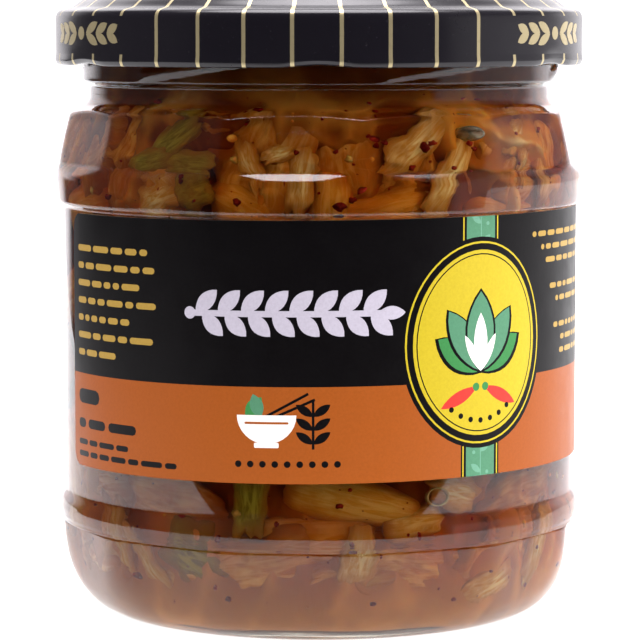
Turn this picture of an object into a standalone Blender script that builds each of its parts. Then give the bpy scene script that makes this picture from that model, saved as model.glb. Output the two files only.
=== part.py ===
"""A sealed glass jar of kimchi with a twist-off metal lid and a wrapped paper label.

The jar stands on z = 0 with its axis on Z, and the side seen first faces -Y.
Angles round the jar start at -Y and grow towards +X.
"""

import math
import random

import bmesh
import bpy
import numpy
from mathutils import Vector, noise
from mathutils.geometry import interpolate_bezier

MM = 0.001  # lengths below are in millimetres, and meshes are built in metres
OBJECT_NAME = "kimchi_jar"
SEED = 385
SIDES = 48
GAP = 0.3

# Glass, outside. A pair of handles bends a curve of the section, as (radius, height) pairs.
BASE_RING_RADIUS = 32.4
BASE_RING_WIDTH = 2.0
PUSH_UP_RADIUS = 27.0
PUSH_UP_EDGE = 1.3
PUSH_UP_HEIGHT = 1.8
HEEL_TOP = 14.6
HEEL_RADIUS = 42.1
HEEL_HANDLES = ((41.8, 4.75), (36.9, 0.1))
BAND_RADIUS = 42.5
BAND_SWELL = 0.1
LOWER_BAND = (16.3, 19.0)
PANEL = (19.5, 66.0)
PANEL_RADIUS = 41.6
UPPER_BAND = (66.4, 71.8)
SHOULDER_TOP = 79.4
SHOULDER_RADIUS = 41.3
SHOULDER_HANDLES = ((38.1, 81.2), (41.0, 81.7))
SHOULDER_EDGE = 1.2
NECK_BOTTOM = 83.2
NECK_RADIUS = 37.3
BEAD = (85.9, 87.7)
BEAD_RADIUS = 38.4
FINISH_RADIUS = 38.3
RIM_TOP = 98.2
EDGE = 0.6

# Twelve flats round the shoulder and the heel. A corner of the flats is a (radius, height) pair.
FACETS = 12
FACET_TURN = math.radians(9.4)
SHOULDER_FLAT_TOP = (41.05, 80.1)
SHOULDER_FLAT_FOOT = (42.4, 72.4)
SHOULDER_LEDGE = (44.2, 71.6)
HEEL_FLAT_TOP = (42.45, 14.6)
HEEL_FLAT_HANDLES = ((42.25, 9.5), (41.4, 6.4))
HEEL_FLAT_FOOT = (40.9, 4.4)
CLEAR_OF_GLASS = 46.0
CLEAR_OF_BASE = -1.0

# Glass, inside
FLOOR_MIDDLE = 4.6
FLOOR_EDGE = (31.5, 3.0)
FLOOR_HANDLES = ((12.0, 4.6), (24.0, 3.0))
INSIDE_HEEL_HANDLES = ((36.6, 3.0), (39.1, 7.0))
INSIDE_RADIUS = 39.1
INSIDE_STRAIGHT = (16.0, 70.0)
INSIDE_SHOULDER_HANDLES = ((39.1, 76.0), (37.0, 79.5))
MOUTH_RADIUS = 34.9
MOUTH_EDGE = 1.2

# Lid, pressed from thin sheet with a curled lower edge
LID_TOP = 99.4
LID_RADIUS = 42.7
LID_BOTTOM = 88.6
SHEET = 0.6
RIM_RING = (33.4, 38.6)
RING_SLOPE = 1.6
RING_ROUND = 0.35
LID_PANEL = 97.9
BUTTON_RADIUS = 11.0
BUTTON_RISE = 0.5
BUTTON_EDGE = 1.2
LID_SHOULDER = 96.4
LID_ROLL = ((40.4, 98.0), (42.0, 98.0), (42.7, 97.3))
# The curl, as (distance in from the lid's side, height above its lower edge) pairs
CURL = ((0.0, 1.6), (-0.15, 1.0), (0.2, 0.1), (0.8, 0.0), (1.4, 0.5), (1.4, 1.4), (0.6, 1.9))

# Label, a sheet round most of the panel
LABEL_START = -68.4
LABEL_SPAN = 296.4
LABEL_HEIGHTS = (25.4, 65.9)
LABEL_RADIUS = 41.75
LABEL_SHEET = 0.23
LABEL_CORNER = 3.0
LABEL_COLUMNS = 44

# Food. A piece is named by its size along and across, thickness, ruffle depth and grid of faces.
CORE_DEPTH = 4.2
CORE_NECK_DEPTH = 2.2
CORE_SIDES = 20
CORE_UNEVENNESS = 1.1
CORE_LUMP = 8.5
CORE_MIDDLE = 25.0
CORE_HEIGHTS = (72.0, 60.0, 40.0, 22.0, 12.0)
CORE_FOOT = ((31.0, 6.4), (23.0, 5.4))
FOOD_TOP = 89.0
FOOD_LOWEST = 6.4
FOOD_HIGHEST = 82.0
PIECE_DEPTH = 0.45
RAGGED_EDGE = 0.22
TAPER = 1.6
RUFFLES_ALONG = 9.0
RUFFLES_ACROSS = 5.0
MOST_TILT = 35.0
ANGLE_SPREAD = 6.0
HEIGHT_SPREAD = 2.5
LEAF = {"along": 27, "across": 16, "thick": 1.3, "ruffle": 1.0, "grid": (6, 3)}
RIB = {"along": 31, "across": 11, "thick": 4.6, "ruffle": 0.35, "grid": (5, 2)}
SPRING_ONION = {"along": 16, "across": 5, "thick": 1.8, "ruffle": 0.3, "grid": (3, 2)}
# Each row of pieces: middle height, the kinds in turn, and how many go round
ROWS = (
    (11.5, (LEAF, RIB, SPRING_ONION, RIB), 8),
    (21.0, (RIB, LEAF, LEAF, SPRING_ONION), 8),
    (35.0, (LEAF, RIB), 4),
    (51.0, (RIB, LEAF), 4),
    (67.0, (LEAF, SPRING_ONION, RIB, LEAF), 8),
    (76.5, (RIB, LEAF, LEAF, SPRING_ONION), 8),
)


def clear_scene():
    """Remove every object that the file opened with."""
    for obj in list(bpy.data.objects):
        bpy.data.objects.remove(obj)


def new_collection(name):
    """Make a collection in the scene."""
    collection = bpy.data.collections.new(name)
    bpy.context.scene.collection.children.link(collection)
    return collection


def new_material(name, colour, roughness, metallic=0.0, transmission=0.0):
    """Make a plain Principled material."""
    material = bpy.data.materials.new(name)
    material.use_nodes = True
    shader = material.node_tree.nodes["Principled BSDF"]
    shader.inputs["Base Color"].default_value = (*colour, 1.0)
    shader.inputs["Roughness"].default_value = roughness
    shader.inputs["Metallic"].default_value = metallic
    shader.inputs["Transmission Weight"].default_value = transmission
    return material


def curve_points(start, start_handle, end_handle, end, count):
    """List the points of a cubic curve in a section, as (radius, height) pairs."""
    corners = [Vector((radius, height, 0.0)) for radius, height in (start, start_handle, end_handle, end)]
    return [(point.x, point.y) for point in interpolate_bezier(*corners, count)]


def shade(mesh, sharp_degrees=25.0):
    """Shade a mesh smooth, with sharp edges where its faces turn."""
    mesh.shade_smooth()
    mesh.set_sharp_from_angle(angle=math.radians(sharp_degrees))


def freeze(obj):
    """Replace an object's mesh with what its modifiers make of it."""
    graph = bpy.context.evaluated_depsgraph_get()
    mesh = bpy.data.meshes.new_from_object(obj.evaluated_get(graph))
    obj.modifiers.clear()
    obj.data = mesh


def turned(name, outline, sides, collection):
    """Turn an open outline of (radius, height) pairs round Z. It runs down the outer side."""
    mesh = bpy.data.meshes.new(name)
    points = [(radius * MM, 0.0, height * MM) for radius, height in outline]
    edges = [(index, index + 1) for index in range(len(points) - 1)]
    mesh.from_pydata(points, edges, [])
    obj = bpy.data.objects.new(name, mesh)
    collection.objects.link(obj)
    screw = obj.modifiers.new("Turn", "SCREW")
    screw.angle = math.tau
    screw.steps = sides
    screw.render_steps = sides
    screw.use_merge_vertices = True
    screw.merge_threshold = 0.00001
    return obj


def wall_outline():
    """Section of the glass inside, from the edge of the floor up to the mouth."""
    low, high = INSIDE_STRAIGHT
    heel = curve_points(FLOOR_EDGE, *INSIDE_HEEL_HANDLES, (INSIDE_RADIUS, low), 6)
    shoulder = curve_points((INSIDE_RADIUS, high), *INSIDE_SHOULDER_HANDLES, (MOUTH_RADIUS, NECK_BOTTOM), 5)
    return [*heel, *shoulder]


def inside_outline():
    """Section of the glass inside, from the middle of the raised floor up to the mouth."""
    floor = curve_points((0.0, FLOOR_MIDDLE), *FLOOR_HANDLES, FLOOR_EDGE, 4)
    return [*floor[:-1], *wall_outline()]


def outside_outline():
    """Section of the glass outside, from the mouth down to the middle of the base."""
    shoulder = curve_points((NECK_RADIUS, NECK_BOTTOM), *SHOULDER_HANDLES, (SHOULDER_RADIUS, SHOULDER_TOP), 6)
    heel = curve_points((HEEL_RADIUS, HEEL_TOP), *HEEL_HANDLES, (BASE_RING_RADIUS, 0.0), 9)
    return [
        (FINISH_RADIUS, RIM_TOP - EDGE),
        (FINISH_RADIUS, BEAD[1] + EDGE),
        (BEAD_RADIUS, BEAD[1]),
        (BEAD_RADIUS, BEAD[0] + EDGE / 2),
        (NECK_RADIUS, BEAD[0] - EDGE / 2),
        *shoulder,
        (BAND_RADIUS, SHOULDER_TOP - SHOULDER_EDGE),
        (BAND_RADIUS, UPPER_BAND[1]),
        (BAND_RADIUS + BAND_SWELL, UPPER_BAND[1] - 2 * EDGE),
        (BAND_RADIUS, UPPER_BAND[0] + EDGE / 2),
        (PANEL_RADIUS, PANEL[1]),
        (PANEL_RADIUS, PANEL[0]),
        (BAND_RADIUS, LOWER_BAND[1] - EDGE),
        (BAND_RADIUS, LOWER_BAND[0] + EDGE),
        (HEEL_RADIUS + BAND_SWELL, HEEL_TOP + EDGE),
        *heel,
        (BASE_RING_RADIUS - BASE_RING_WIDTH, 0.0),
        (PUSH_UP_RADIUS, PUSH_UP_EDGE),
        (0.0, PUSH_UP_HEIGHT),
    ]


def facet_mould(cutters):
    """Make the twelve-sided solid that leaves flats on the shoulder and the heel."""
    heel = curve_points(HEEL_FLAT_TOP, *HEEL_FLAT_HANDLES, HEEL_FLAT_FOOT, 6)
    outline = [
        (0.0, LID_TOP + EDGE),
        (CLEAR_OF_GLASS, LID_TOP + EDGE),
        (CLEAR_OF_GLASS, BEAD[1]),
        (SHOULDER_FLAT_TOP[0] - EDGE, NECK_BOTTOM + EDGE),
        SHOULDER_FLAT_TOP,
        SHOULDER_FLAT_FOOT,
        SHOULDER_LEDGE,
        (CLEAR_OF_GLASS, SHOULDER_LEDGE[1]),
        (CLEAR_OF_GLASS, HEEL_TOP + EDGE),
        *heel,
        (CLEAR_OF_GLASS, HEEL_FLAT_FOOT[1] - EDGE),
        (CLEAR_OF_GLASS, CLEAR_OF_BASE),
        (0.0, CLEAR_OF_BASE),
    ]
    mould = turned("facet_mould", outline, FACETS, cutters)
    mould.rotation_euler.z = FACET_TURN
    mould.hide_render = True
    mould.display_type = "WIRE"
    return mould


def make_glass(parts, cutters, material):
    """Turn the jar, wall and all, and cut its flats."""
    rim = [(MOUTH_RADIUS, RIM_TOP - MOUTH_EDGE), (MOUTH_RADIUS + MOUTH_EDGE, RIM_TOP), (NECK_RADIUS, RIM_TOP)]
    glass = turned("glass_jar", [*inside_outline(), *rim, *outside_outline()], SIDES, parts)
    glass.rotation_euler.z = FACET_TURN
    cut = glass.modifiers.new("Flats", "BOOLEAN")
    cut.operation = "INTERSECT"
    cut.object = facet_mould(cutters)
    freeze(glass)
    shade(glass.data)
    glass.data.materials.append(material)
    return glass


def make_lid(parts, material):
    """Turn the lid: a raised ring over the rim, a sunk panel with a button, and a curled edge."""
    ring_inside, ring_outside = RIM_RING
    top = [
        (0.0, LID_PANEL + BUTTON_RISE),
        (BUTTON_RADIUS - BUTTON_EDGE, LID_PANEL + BUTTON_RISE),
        (BUTTON_RADIUS, LID_PANEL),
        (ring_inside - RING_SLOPE, LID_PANEL),
        (ring_inside - RING_ROUND, LID_TOP - RING_ROUND),
        (ring_inside + RING_ROUND, LID_TOP),
        (ring_outside - RING_ROUND, LID_TOP),
        (ring_outside + RING_ROUND, LID_TOP - RING_ROUND),
    ]
    roll = curve_points(*LID_ROLL, (LID_RADIUS, LID_SHOULDER), 4)
    curl = [(LID_RADIUS - inwards, LID_BOTTOM + rise) for inwards, rise in CURL]
    under = [
        (LID_RADIUS - SHEET, LID_SHOULDER),
        (LID_ROLL[0][0] + SHEET, LID_ROLL[0][1] - SHEET),
        (ring_outside, LID_TOP - SHEET),
        (ring_inside, LID_TOP - SHEET),
        (ring_inside - RING_SLOPE + SHEET, LID_PANEL - SHEET),
        (0.0, LID_PANEL - SHEET),
    ]
    lid = turned("lid", [*top, *roll, *curl, *under], SIDES, parts)
    freeze(lid)
    shade(lid.data)
    lid.data.materials.append(material)
    return lid


def round_jar(angle, radius, height):
    """Place a point by its angle round the jar in degrees, its radius and its height."""
    turn = math.radians(angle)
    return Vector((radius * math.sin(turn), -radius * math.cos(turn), height)) * MM


def label_columns():
    """Distances along the label of its columns of vertices, closer at its rounded ends."""
    length = math.radians(LABEL_SPAN) * LABEL_RADIUS
    corner = [LABEL_CORNER * (1 - math.cos(math.radians(turn))) for turn in (0, 30, 60, 90)]
    middle = numpy.linspace(LABEL_CORNER, length - LABEL_CORNER, LABEL_COLUMNS)[1:-1]
    return [*corner, *middle, *[length - distance for distance in reversed(corner)]]


def make_label(parts, material):
    """Wrap a sheet with rounded corners round the panel, with open glass at its seam."""
    columns = label_columns()
    length = columns[-1]
    low, high = LABEL_HEIGHTS
    mesh = bmesh.new()
    bmesh.ops.create_grid(mesh, x_segments=len(columns) - 1, y_segments=1, size=1.0)
    for vertex in mesh.verts:
        column = round((vertex.co.x + 1) / 2 * (len(columns) - 1))
        along = columns[column]
        into_corner = max(LABEL_CORNER - along, LABEL_CORNER - (length - along), 0.0)
        inset = LABEL_CORNER - math.sqrt(max(LABEL_CORNER**2 - into_corner**2, 0.0))
        height = high - inset if vertex.co.y > 0 else low + inset
        vertex.co = round_jar(LABEL_START + math.degrees(along / LABEL_RADIUS), LABEL_RADIUS, height)
    data = bpy.data.meshes.new("label")
    mesh.to_mesh(data)
    mesh.free()
    label = bpy.data.objects.new("label", data)
    parts.objects.link(label)
    sheet = label.modifiers.new("Paper", "SOLIDIFY")
    sheet.thickness = LABEL_SHEET * MM
    sheet.offset = 1.0
    freeze(label)
    shade(label.data)
    label.data.materials.append(material)
    return label


def wall_at(height):
    """Radius of the glass inside at a height, as far as food may reach."""
    radii, heights = zip(*wall_outline())
    return float(numpy.interp(height, heights, radii)) - GAP


def food_core(pieces):
    """Turn a plug that follows the glass inside, a little smaller, and make it uneven."""
    neck = MOUTH_RADIUS - CORE_NECK_DEPTH
    sides = [(wall_at(height) - CORE_DEPTH, height) for height in CORE_HEIGHTS]
    foot = CORE_FOOT[-1][1]
    outline = [
        (0.0, FOOD_TOP),
        (neck - CORE_DEPTH, FOOD_TOP),
        (neck, FOOD_TOP - CORE_DEPTH / 2),
        (neck, NECK_BOTTOM - CORE_DEPTH / 2),
        *sides,
        *CORE_FOOT,
        (0.0, foot),
    ]
    core = turned("food_core", outline, CORE_SIDES, pieces)
    freeze(core)
    for vertex in core.data.vertices:
        radius = math.hypot(vertex.co.x, vertex.co.y)
        if radius > CORE_MIDDLE * MM:
            push = 1 + CORE_UNEVENNESS * noise.noise(vertex.co / (CORE_LUMP * MM)) * MM / radius
            vertex.co.x *= push
            vertex.co.y *= push
    return core


def food_piece(pieces, kind, angle, height, tilt, chance):
    """Lay one thin wavy piece against the glass, tilted in its own plane and sunk in the core."""
    along = kind["along"] * chance.uniform(0.85, 1.15)
    across = kind["across"] * chance.uniform(0.85, 1.15)
    wave = chance.uniform(0, math.tau)
    mesh = bmesh.new()
    columns, rows = kind["grid"]
    bmesh.ops.create_grid(mesh, x_segments=columns, y_segments=rows, size=0.5)
    bmesh.ops.triangulate(mesh, faces=mesh.faces)
    for vertex in mesh.verts:
        u, v = vertex.co.x, vertex.co.y
        ragged = 1 + RAGGED_EDGE * noise.noise(Vector((u * 3, v * 3, wave)))
        flat_x = u * along * ragged
        flat_y = v * across * (1 - TAPER * abs(u) ** 3) * ragged
        crosswise = math.sin(v * RUFFLES_ACROSS + u * 3 + wave)
        ruffle = kind["ruffle"] * (math.sin(u * RUFFLES_ALONG + wave) + crosswise) / 2
        reach = flat_x * math.cos(tilt) - flat_y * math.sin(tilt)
        level = flat_x * math.sin(tilt) + flat_y * math.cos(tilt) + height
        vertex.co = (reach, level, ruffle - kind["ruffle"] - PIECE_DEPTH)
    levels = [vertex.co.y for vertex in mesh.verts]
    lift = max(FOOD_LOWEST - min(levels), 0.0) + min(FOOD_HIGHEST - max(levels), 0.0)
    for vertex in mesh.verts:
        level = vertex.co.y + lift
        wall = wall_at(level)
        vertex.co = round_jar(angle + math.degrees(vertex.co.x / wall), wall + vertex.co.z, level)
    data = bpy.data.meshes.new("food_piece")
    mesh.to_mesh(data)
    mesh.free()
    piece = bpy.data.objects.new("food_piece", data)
    pieces.objects.link(piece)
    body = piece.modifiers.new("Thickness", "SOLIDIFY")
    body.thickness = kind["thick"] * MM
    body.offset = -1.0
    freeze(piece)
    return piece


def keep_largest_shell(mesh):
    """Drop loose scraps and the shells of sealed hollows, so that one closed body is left."""
    shells = []
    waiting = set(mesh.verts)
    while waiting:
        front = [waiting.pop()]
        shell = set(front)
        while front:
            vertex = front.pop()
            for edge in vertex.link_edges:
                other = edge.other_vert(vertex)
                if other in waiting:
                    waiting.discard(other)
                    shell.add(other)
                    front.append(other)
        shells.append(shell)
    largest = max(shells, key=len)
    scraps = [vertex for vertex in mesh.verts if vertex not in largest]
    bmesh.ops.delete(mesh, geom=scraps, context="VERTS")


def make_food(parts, material):
    """Fuse the core and the pieces that show into one heap, clear of the glass."""
    chance = random.Random(SEED)
    pieces = new_collection("food_pieces")
    core = food_core(pieces)
    for height, kinds, count in ROWS:
        start = chance.uniform(0, 360)
        for index in range(count):
            kind = kinds[index % len(kinds)]
            angle = start + index * 360 / count + chance.uniform(-ANGLE_SPREAD, ANGLE_SPREAD)
            tilt = math.radians(chance.uniform(-MOST_TILT, MOST_TILT))
            level = height + chance.uniform(-HEIGHT_SPREAD, HEIGHT_SPREAD)
            food_piece(pieces, kind, angle, level, tilt, chance)
    food = bpy.data.objects.new("kimchi_heap", core.data.copy())
    parts.objects.link(food)
    bpy.data.objects.remove(core)
    union = food.modifiers.new("Fuse", "BOOLEAN")
    union.operation = "UNION"
    union.operand_type = "COLLECTION"
    union.collection = pieces
    union.solver = "MANIFOLD"
    freeze(food)
    for piece in list(pieces.objects):
        bpy.data.objects.remove(piece)
    bpy.data.collections.remove(pieces)
    mesh = bmesh.new()
    mesh.from_mesh(food.data)
    keep_largest_shell(mesh)
    mesh.to_mesh(food.data)
    mesh.free()
    shade(food.data, sharp_degrees=50.0)
    food.data.materials.clear()
    food.data.materials.append(material)
    return food


def main():
    """Build the jar."""
    clear_scene()
    parts = new_collection(OBJECT_NAME)
    cutters = new_collection("cutters")
    axis = bpy.data.objects.new("jar_axis", None)
    parts.objects.link(axis)
    clear_glass = new_material("clear glass", (0.92, 0.95, 0.93), 0.03, transmission=1.0)
    black_tinplate = new_material("black lacquered tinplate", (0.012, 0.011, 0.013), 0.35, metallic=0.3)
    printed_paper = new_material("printed paper", (0.02, 0.018, 0.018), 0.45)
    cabbage = new_material("pickled cabbage", (0.42, 0.13, 0.03), 0.4)
    built = [
        make_glass(parts, cutters, clear_glass),
        make_lid(parts, black_tinplate),
        make_label(parts, printed_paper),
        make_food(parts, cabbage),
    ]
    for obj in built:
        obj.parent = axis


main()
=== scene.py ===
"""Dress a sealed jar of kimchi for a studio picture.

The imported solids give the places. The glass, lid, label and food are modelled here at full detail,
and the liquid that the food lies in is added. Angles round the jar start at the front, which faces
-Y, and grow towards +X.
"""

import math
import random

import bpy
import numpy
from bpy.props import FloatProperty, FloatVectorProperty, IntProperty, PointerProperty
from mathutils import Matrix, Vector, noise
from mathutils.geometry import delaunay_2d_cdt, interpolate_bezier


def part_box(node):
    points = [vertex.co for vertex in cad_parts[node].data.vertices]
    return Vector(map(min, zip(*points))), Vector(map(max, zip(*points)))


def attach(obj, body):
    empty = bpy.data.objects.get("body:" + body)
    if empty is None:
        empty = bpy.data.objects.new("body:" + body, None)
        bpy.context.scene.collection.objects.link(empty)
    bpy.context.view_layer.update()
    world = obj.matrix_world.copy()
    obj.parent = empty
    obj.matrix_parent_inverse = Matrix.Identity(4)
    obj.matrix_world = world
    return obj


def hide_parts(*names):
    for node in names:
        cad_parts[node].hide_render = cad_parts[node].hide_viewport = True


bl_info = {
    "name": "Kimchi Jar",
    "version": (1, 0, 0),
    "blender": (4, 5, 0),
    "location": "View3D > Sidebar > Kimchi Jar",
    "description": "Models a jar of kimchi with its lid, label, food and studio",
    "category": "Object",
}

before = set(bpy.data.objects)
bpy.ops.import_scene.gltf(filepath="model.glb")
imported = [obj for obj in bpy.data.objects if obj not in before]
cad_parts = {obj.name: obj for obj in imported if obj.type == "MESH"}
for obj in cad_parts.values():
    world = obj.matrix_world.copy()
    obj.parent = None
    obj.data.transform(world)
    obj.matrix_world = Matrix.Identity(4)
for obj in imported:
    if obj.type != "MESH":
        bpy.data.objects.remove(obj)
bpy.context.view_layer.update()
GLASS_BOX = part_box("glass_jar")
LID_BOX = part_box("lid")
LABEL_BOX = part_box("label")

MM = 0.001
BODY = "root"
SEED = 385

# The moulded glass and the lid, in millimetres, and the turn of the glass's twelve flats in degrees
GLASS_TOP = GLASS_BOX[1].z / MM
BEAD_HEIGHTS = (92.0, 97.0)
SHOULDER_TOP = 79.5
UPPER_BAND = (66.6, 71.7)
HEEL_TOP = 15.4
MOUTH_RADIUS = 34.9
NECK_RADIUS = 37.3
BEAD_RADIUS = 38.3
PANEL_RADIUS = 41.6
BASE_RING = 32.4
LID_RADIUS = 42.7
FACET_TURN = 9.4
FACET_STEP = 30.0


# Sections and turned meshes


def curve_points(start, start_handle, end_handle, end, count):
    """List the points of a cubic curve in a section, as (radius, height) pairs."""
    corners = [Vector((*corner, 0.0)) for corner in (start, start_handle, end_handle, end)]
    return [(point.x, point.y) for point in interpolate_bezier(*corners, count)]


def rounded(corners, degrees_a_step=15.0):
    """Round the corners of an open section. A corner is (radius, height) or (radius, height, rounding)."""
    points = []
    for index, corner in enumerate(corners):
        here = Vector(corner[:2])
        if len(corner) < 3 or index in (0, len(corners) - 1):
            points.append(here)
            continue
        before = Vector(corners[index - 1][:2]) - here
        after = Vector(corners[index + 1][:2]) - here
        turn = math.pi - before.angle(after)
        reach = min(corner[2] * math.tan(turn / 2), 0.49 * before.length, 0.49 * after.length)
        start = here + before.normalized() * reach
        end = here + after.normalized() * reach
        count = max(2, round(math.degrees(turn) / degrees_a_step))
        for step in range(count + 1):
            share = step / count
            points.append(start.lerp(here, share).lerp(here.lerp(end, share), share))
    return points


def spaced(points, spacing):
    """Divide the long stretches of a section, so that no two points are further apart than spacing."""
    dense = [Vector(points[0])]
    for point in points[1:]:
        start = dense[-1]
        end = Vector(point)
        count = max(1, math.ceil((end - start).length / spacing))
        dense.extend(start.lerp(end, step / count) for step in range(1, count + 1))
    return dense


def round_jar(degrees, radius, height):
    """Place a point by its angle round the jar, its radius and its height in millimetres."""
    turn = math.radians(degrees)
    return Vector((radius * math.sin(turn), -radius * math.cos(turn), height)) * MM


def even_columns(count):
    """Angles of evenly spaced columns all round, in degrees."""
    return [360.0 * index / count for index in range(count)]


def new_mesh(name, vertices, faces, slots=None):
    """Make a smooth mesh, with the index of each face's material where it has several."""
    mesh = bpy.data.meshes.new(name)
    mesh.from_pydata(vertices, [], faces)
    if slots:
        mesh.polygons.foreach_set("material_index", slots)
    mesh.shade_smooth()
    return mesh


def new_object(name, mesh, *materials):
    """Put a mesh in the scene as a piece that rides on the jar."""
    obj = bpy.data.objects.new(name, mesh)
    bpy.context.scene.collection.objects.link(obj)
    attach(obj, BODY)
    for material in materials:
        mesh.materials.append(material)
    return obj


def set_flat(mesh, name, values):
    """Give a mesh flat coordinates, one pair for each corner of its faces."""
    layer = mesh.uv_layers.new(name=name)
    layer.data.foreach_set("uv", numpy.array(values, dtype=numpy.float32).ravel())


def lathe(name, section, columns, reshape, slot_of=lambda row, column: 0):
    """Turn a section that runs down the outer side and starts and ends on the axis or closes on itself.

    reshape(degrees, radius, height) moves each point. slot_of(row, column) picks a face's material.
    """
    rows = [tuple(point) for point in section]
    count = len(columns)
    vertices = []
    starts = []
    for radius, height in rows:
        starts.append(len(vertices))
        if radius == 0:
            vertices.append(round_jar(0, 0, height))
        else:
            vertices.extend(round_jar(*reshape(degrees, radius, height)) for degrees in columns)
    faces = []
    slots = []
    for row in range(len(rows) - 1):
        above, below = starts[row], starts[row + 1]
        for column in range(count):
            following = (column + 1) % count
            if rows[row][0] == 0:
                face = (above, below + column, below + following)
            elif rows[row + 1][0] == 0:
                face = (above + column, below, above + following)
            else:
                face = (above + column, below + column, below + following, above + following)
            faces.append(face)
            slots.append(slot_of(row, column))
    return new_mesh(name, vertices, faces, slots)


# Finishes


class Graph:
    """A node tree as it is put together."""

    def __init__(self, tree):
        """Hold the tree."""
        self.tree = tree

    def add(self, kind, inputs=None, **settings):
        """Add a node with its settings, and its inputs as values or as sockets to link."""
        node = self.tree.nodes.new(kind)
        for name, value in settings.items():
            setattr(node, name, value)
        for name, value in (inputs or {}).items():
            if isinstance(value, bpy.types.NodeSocket):
                self.tree.links.new(value, node.inputs[name])
            else:
                node.inputs[name].default_value = value
        return node

    def sum_up(self, operation, first, second):
        """Work out one step with two values."""
        return self.add("ShaderNodeMath", {0: first, 1: second}, operation=operation).outputs["Value"]

    def range(self, value, low, high, new_low, new_high, kind="LINEAR"):
        """Map a value's range to another."""
        names = ("Value", "From Min", "From Max", "To Min", "To Max")
        inputs = dict(zip(names, (value, low, high, new_low, new_high)))
        return self.add("ShaderNodeMapRange", inputs, interpolation_type=kind).outputs["Result"]

    def split(self, vector):
        """Return the three values of a vector."""
        return self.add("ShaderNodeSeparateXYZ", {"Vector": vector}).outputs

    def along(self, vector, direction):
        """Return how far a vector reaches in a direction."""
        inputs = {0: vector, 1: direction}
        return self.add("ShaderNodeVectorMath", inputs, operation="DOT_PRODUCT").outputs["Value"]

    def mix(self, share, first, second):
        """Mix two values."""
        return self.add("ShaderNodeMix", {0: share, 2: first, 3: second}).outputs[0]

class Finish(Graph):
    """A procedural material as it is put together round a Principled shader."""

    def __init__(self, name, **settings):
        """Make the material and set the shader's own sockets."""
        self.material = bpy.data.materials.new(name)
        self.material.use_nodes = True
        super().__init__(self.material.node_tree)
        self.shader = self.tree.nodes["Principled BSDF"]
        self.place = self.tree.nodes.new("ShaderNodeTexCoord")
        for socket, value in settings.items():
            self.shader.inputs[socket.replace("_", " ")].default_value = value

    def grain(self, scale, detail=4.0, roughness=0.5, vector=None, stretch=(1, 1, 1), swirl=0.0):
        """Return a noise value, in the piece's own coordinates unless others are given."""
        inputs = {"Vector": vector or self.place.outputs["Object"], "Scale": stretch}
        mapped = self.add("ShaderNodeMapping", inputs).outputs["Vector"]
        names = ("Vector", "Scale", "Detail", "Roughness", "Distortion")
        inputs = dict(zip(names, (mapped, scale, detail, roughness, swirl)))
        return self.add("ShaderNodeTexNoise", inputs).outputs["Fac"]

    def blend(self, share, first, second):
        """Mix two colours, each a value or a socket."""
        node = self.add("ShaderNodeMix", data_type="RGBA")
        for index, value in ((0, share), (6, first), (7, second)):
            if isinstance(value, bpy.types.NodeSocket):
                self.tree.links.new(value, node.inputs[index])
            else:
                node.inputs[index].default_value = value if index == 0 else (*value[:3], 1.0)
        return node.outputs[2]

    def set(self, socket, value):
        """Link a value to one of the shader's sockets."""
        self.tree.links.new(value, self.shader.inputs[socket])

    def bump(self, height, strength, distance):
        """Raise the surface by a value, with distance in metres."""
        inputs = {"Height": height, "Strength": strength, "Distance": distance}
        self.set("Normal", self.add("ShaderNodeBump", inputs).outputs["Normal"])

    def absorb(self, colour, density):
        """Let the inside take a colour with depth."""
        tint = self.add("ShaderNodeVolumeAbsorption", {"Color": (*colour, 1.0), "Density": density})
        self.tree.links.new(tint.outputs["Volume"], self.tree.nodes["Material Output"].inputs["Volume"])


# Refraction of the glass, of the liquid, and of wet food as the liquid shows it
GLASS_IOR = 1.5
LIQUID_IOR = 1.34
WET_IOR = 1.08


def clear_glass(name, settings, beyond=1.0):
    """Flint glass with a moulded jar's faint waviness, against air or against a liquid of this index."""
    tone = (0.985, 0.992, 0.985, 1)
    finish = Finish(name, Transmission_Weight=1.0, IOR=GLASS_IOR / beyond, Roughness=0.0, Base_Color=tone)
    finish.bump(finish.grain(55.0, detail=2.0, stretch=(1, 1, 0.35)), settings.ripple, 0.0004)
    finish.absorb(settings.tint, settings.depth)
    return finish.material


def amber_liquid(name, settings, index):
    """Clear pickling liquid that turns amber to brown with depth."""
    finish = Finish(name, Transmission_Weight=1.0, IOR=index, Roughness=0.0, Base_Color=(1, 1, 1, 1))
    finish.bump(finish.grain(90.0, detail=1.0), 0.05, 0.0002)
    finish.absorb(settings.liquid, settings.depth)
    return finish.material


def black_lacquer(settings):
    """Satin black lacquer on tinplate, with fine dust and a slight mottle."""
    finish = Finish("black lacquer", Metallic=0.0, IOR=1.5, Specular_IOR_Level=0.42)
    mottle = finish.grain(160.0, detail=5.0)
    dust = finish.grain(2600.0, detail=2.0)
    finish.set("Roughness", finish.range(mottle, 0.3, 0.7, 0.20, 0.28))
    speck = finish.range(dust, 0.7, 0.78, 0.0, 0.35)
    finish.set("Base Color", finish.blend(speck, settings.lacquer, (0.06, 0.055, 0.06)))
    finish.bump(finish.grain(900.0, detail=3.0), 0.15, 0.00003)
    return finish.material


def gold_print(settings):
    """Pale gold ink printed on the lid, a little worn."""
    finish = Finish("gold print", Metallic=0.65, Specular_IOR_Level=0.4)
    wear = finish.grain(700.0, detail=4.0)
    worn = finish.range(wear, 0.55, 0.75, 0.0, 0.3)
    finish.set("Base Color", finish.blend(worn, settings.gold, (0.20, 0.16, 0.09)))
    finish.set("Roughness", finish.range(wear, 0.3, 0.7, 0.3, 0.42))
    return finish.material


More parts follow.
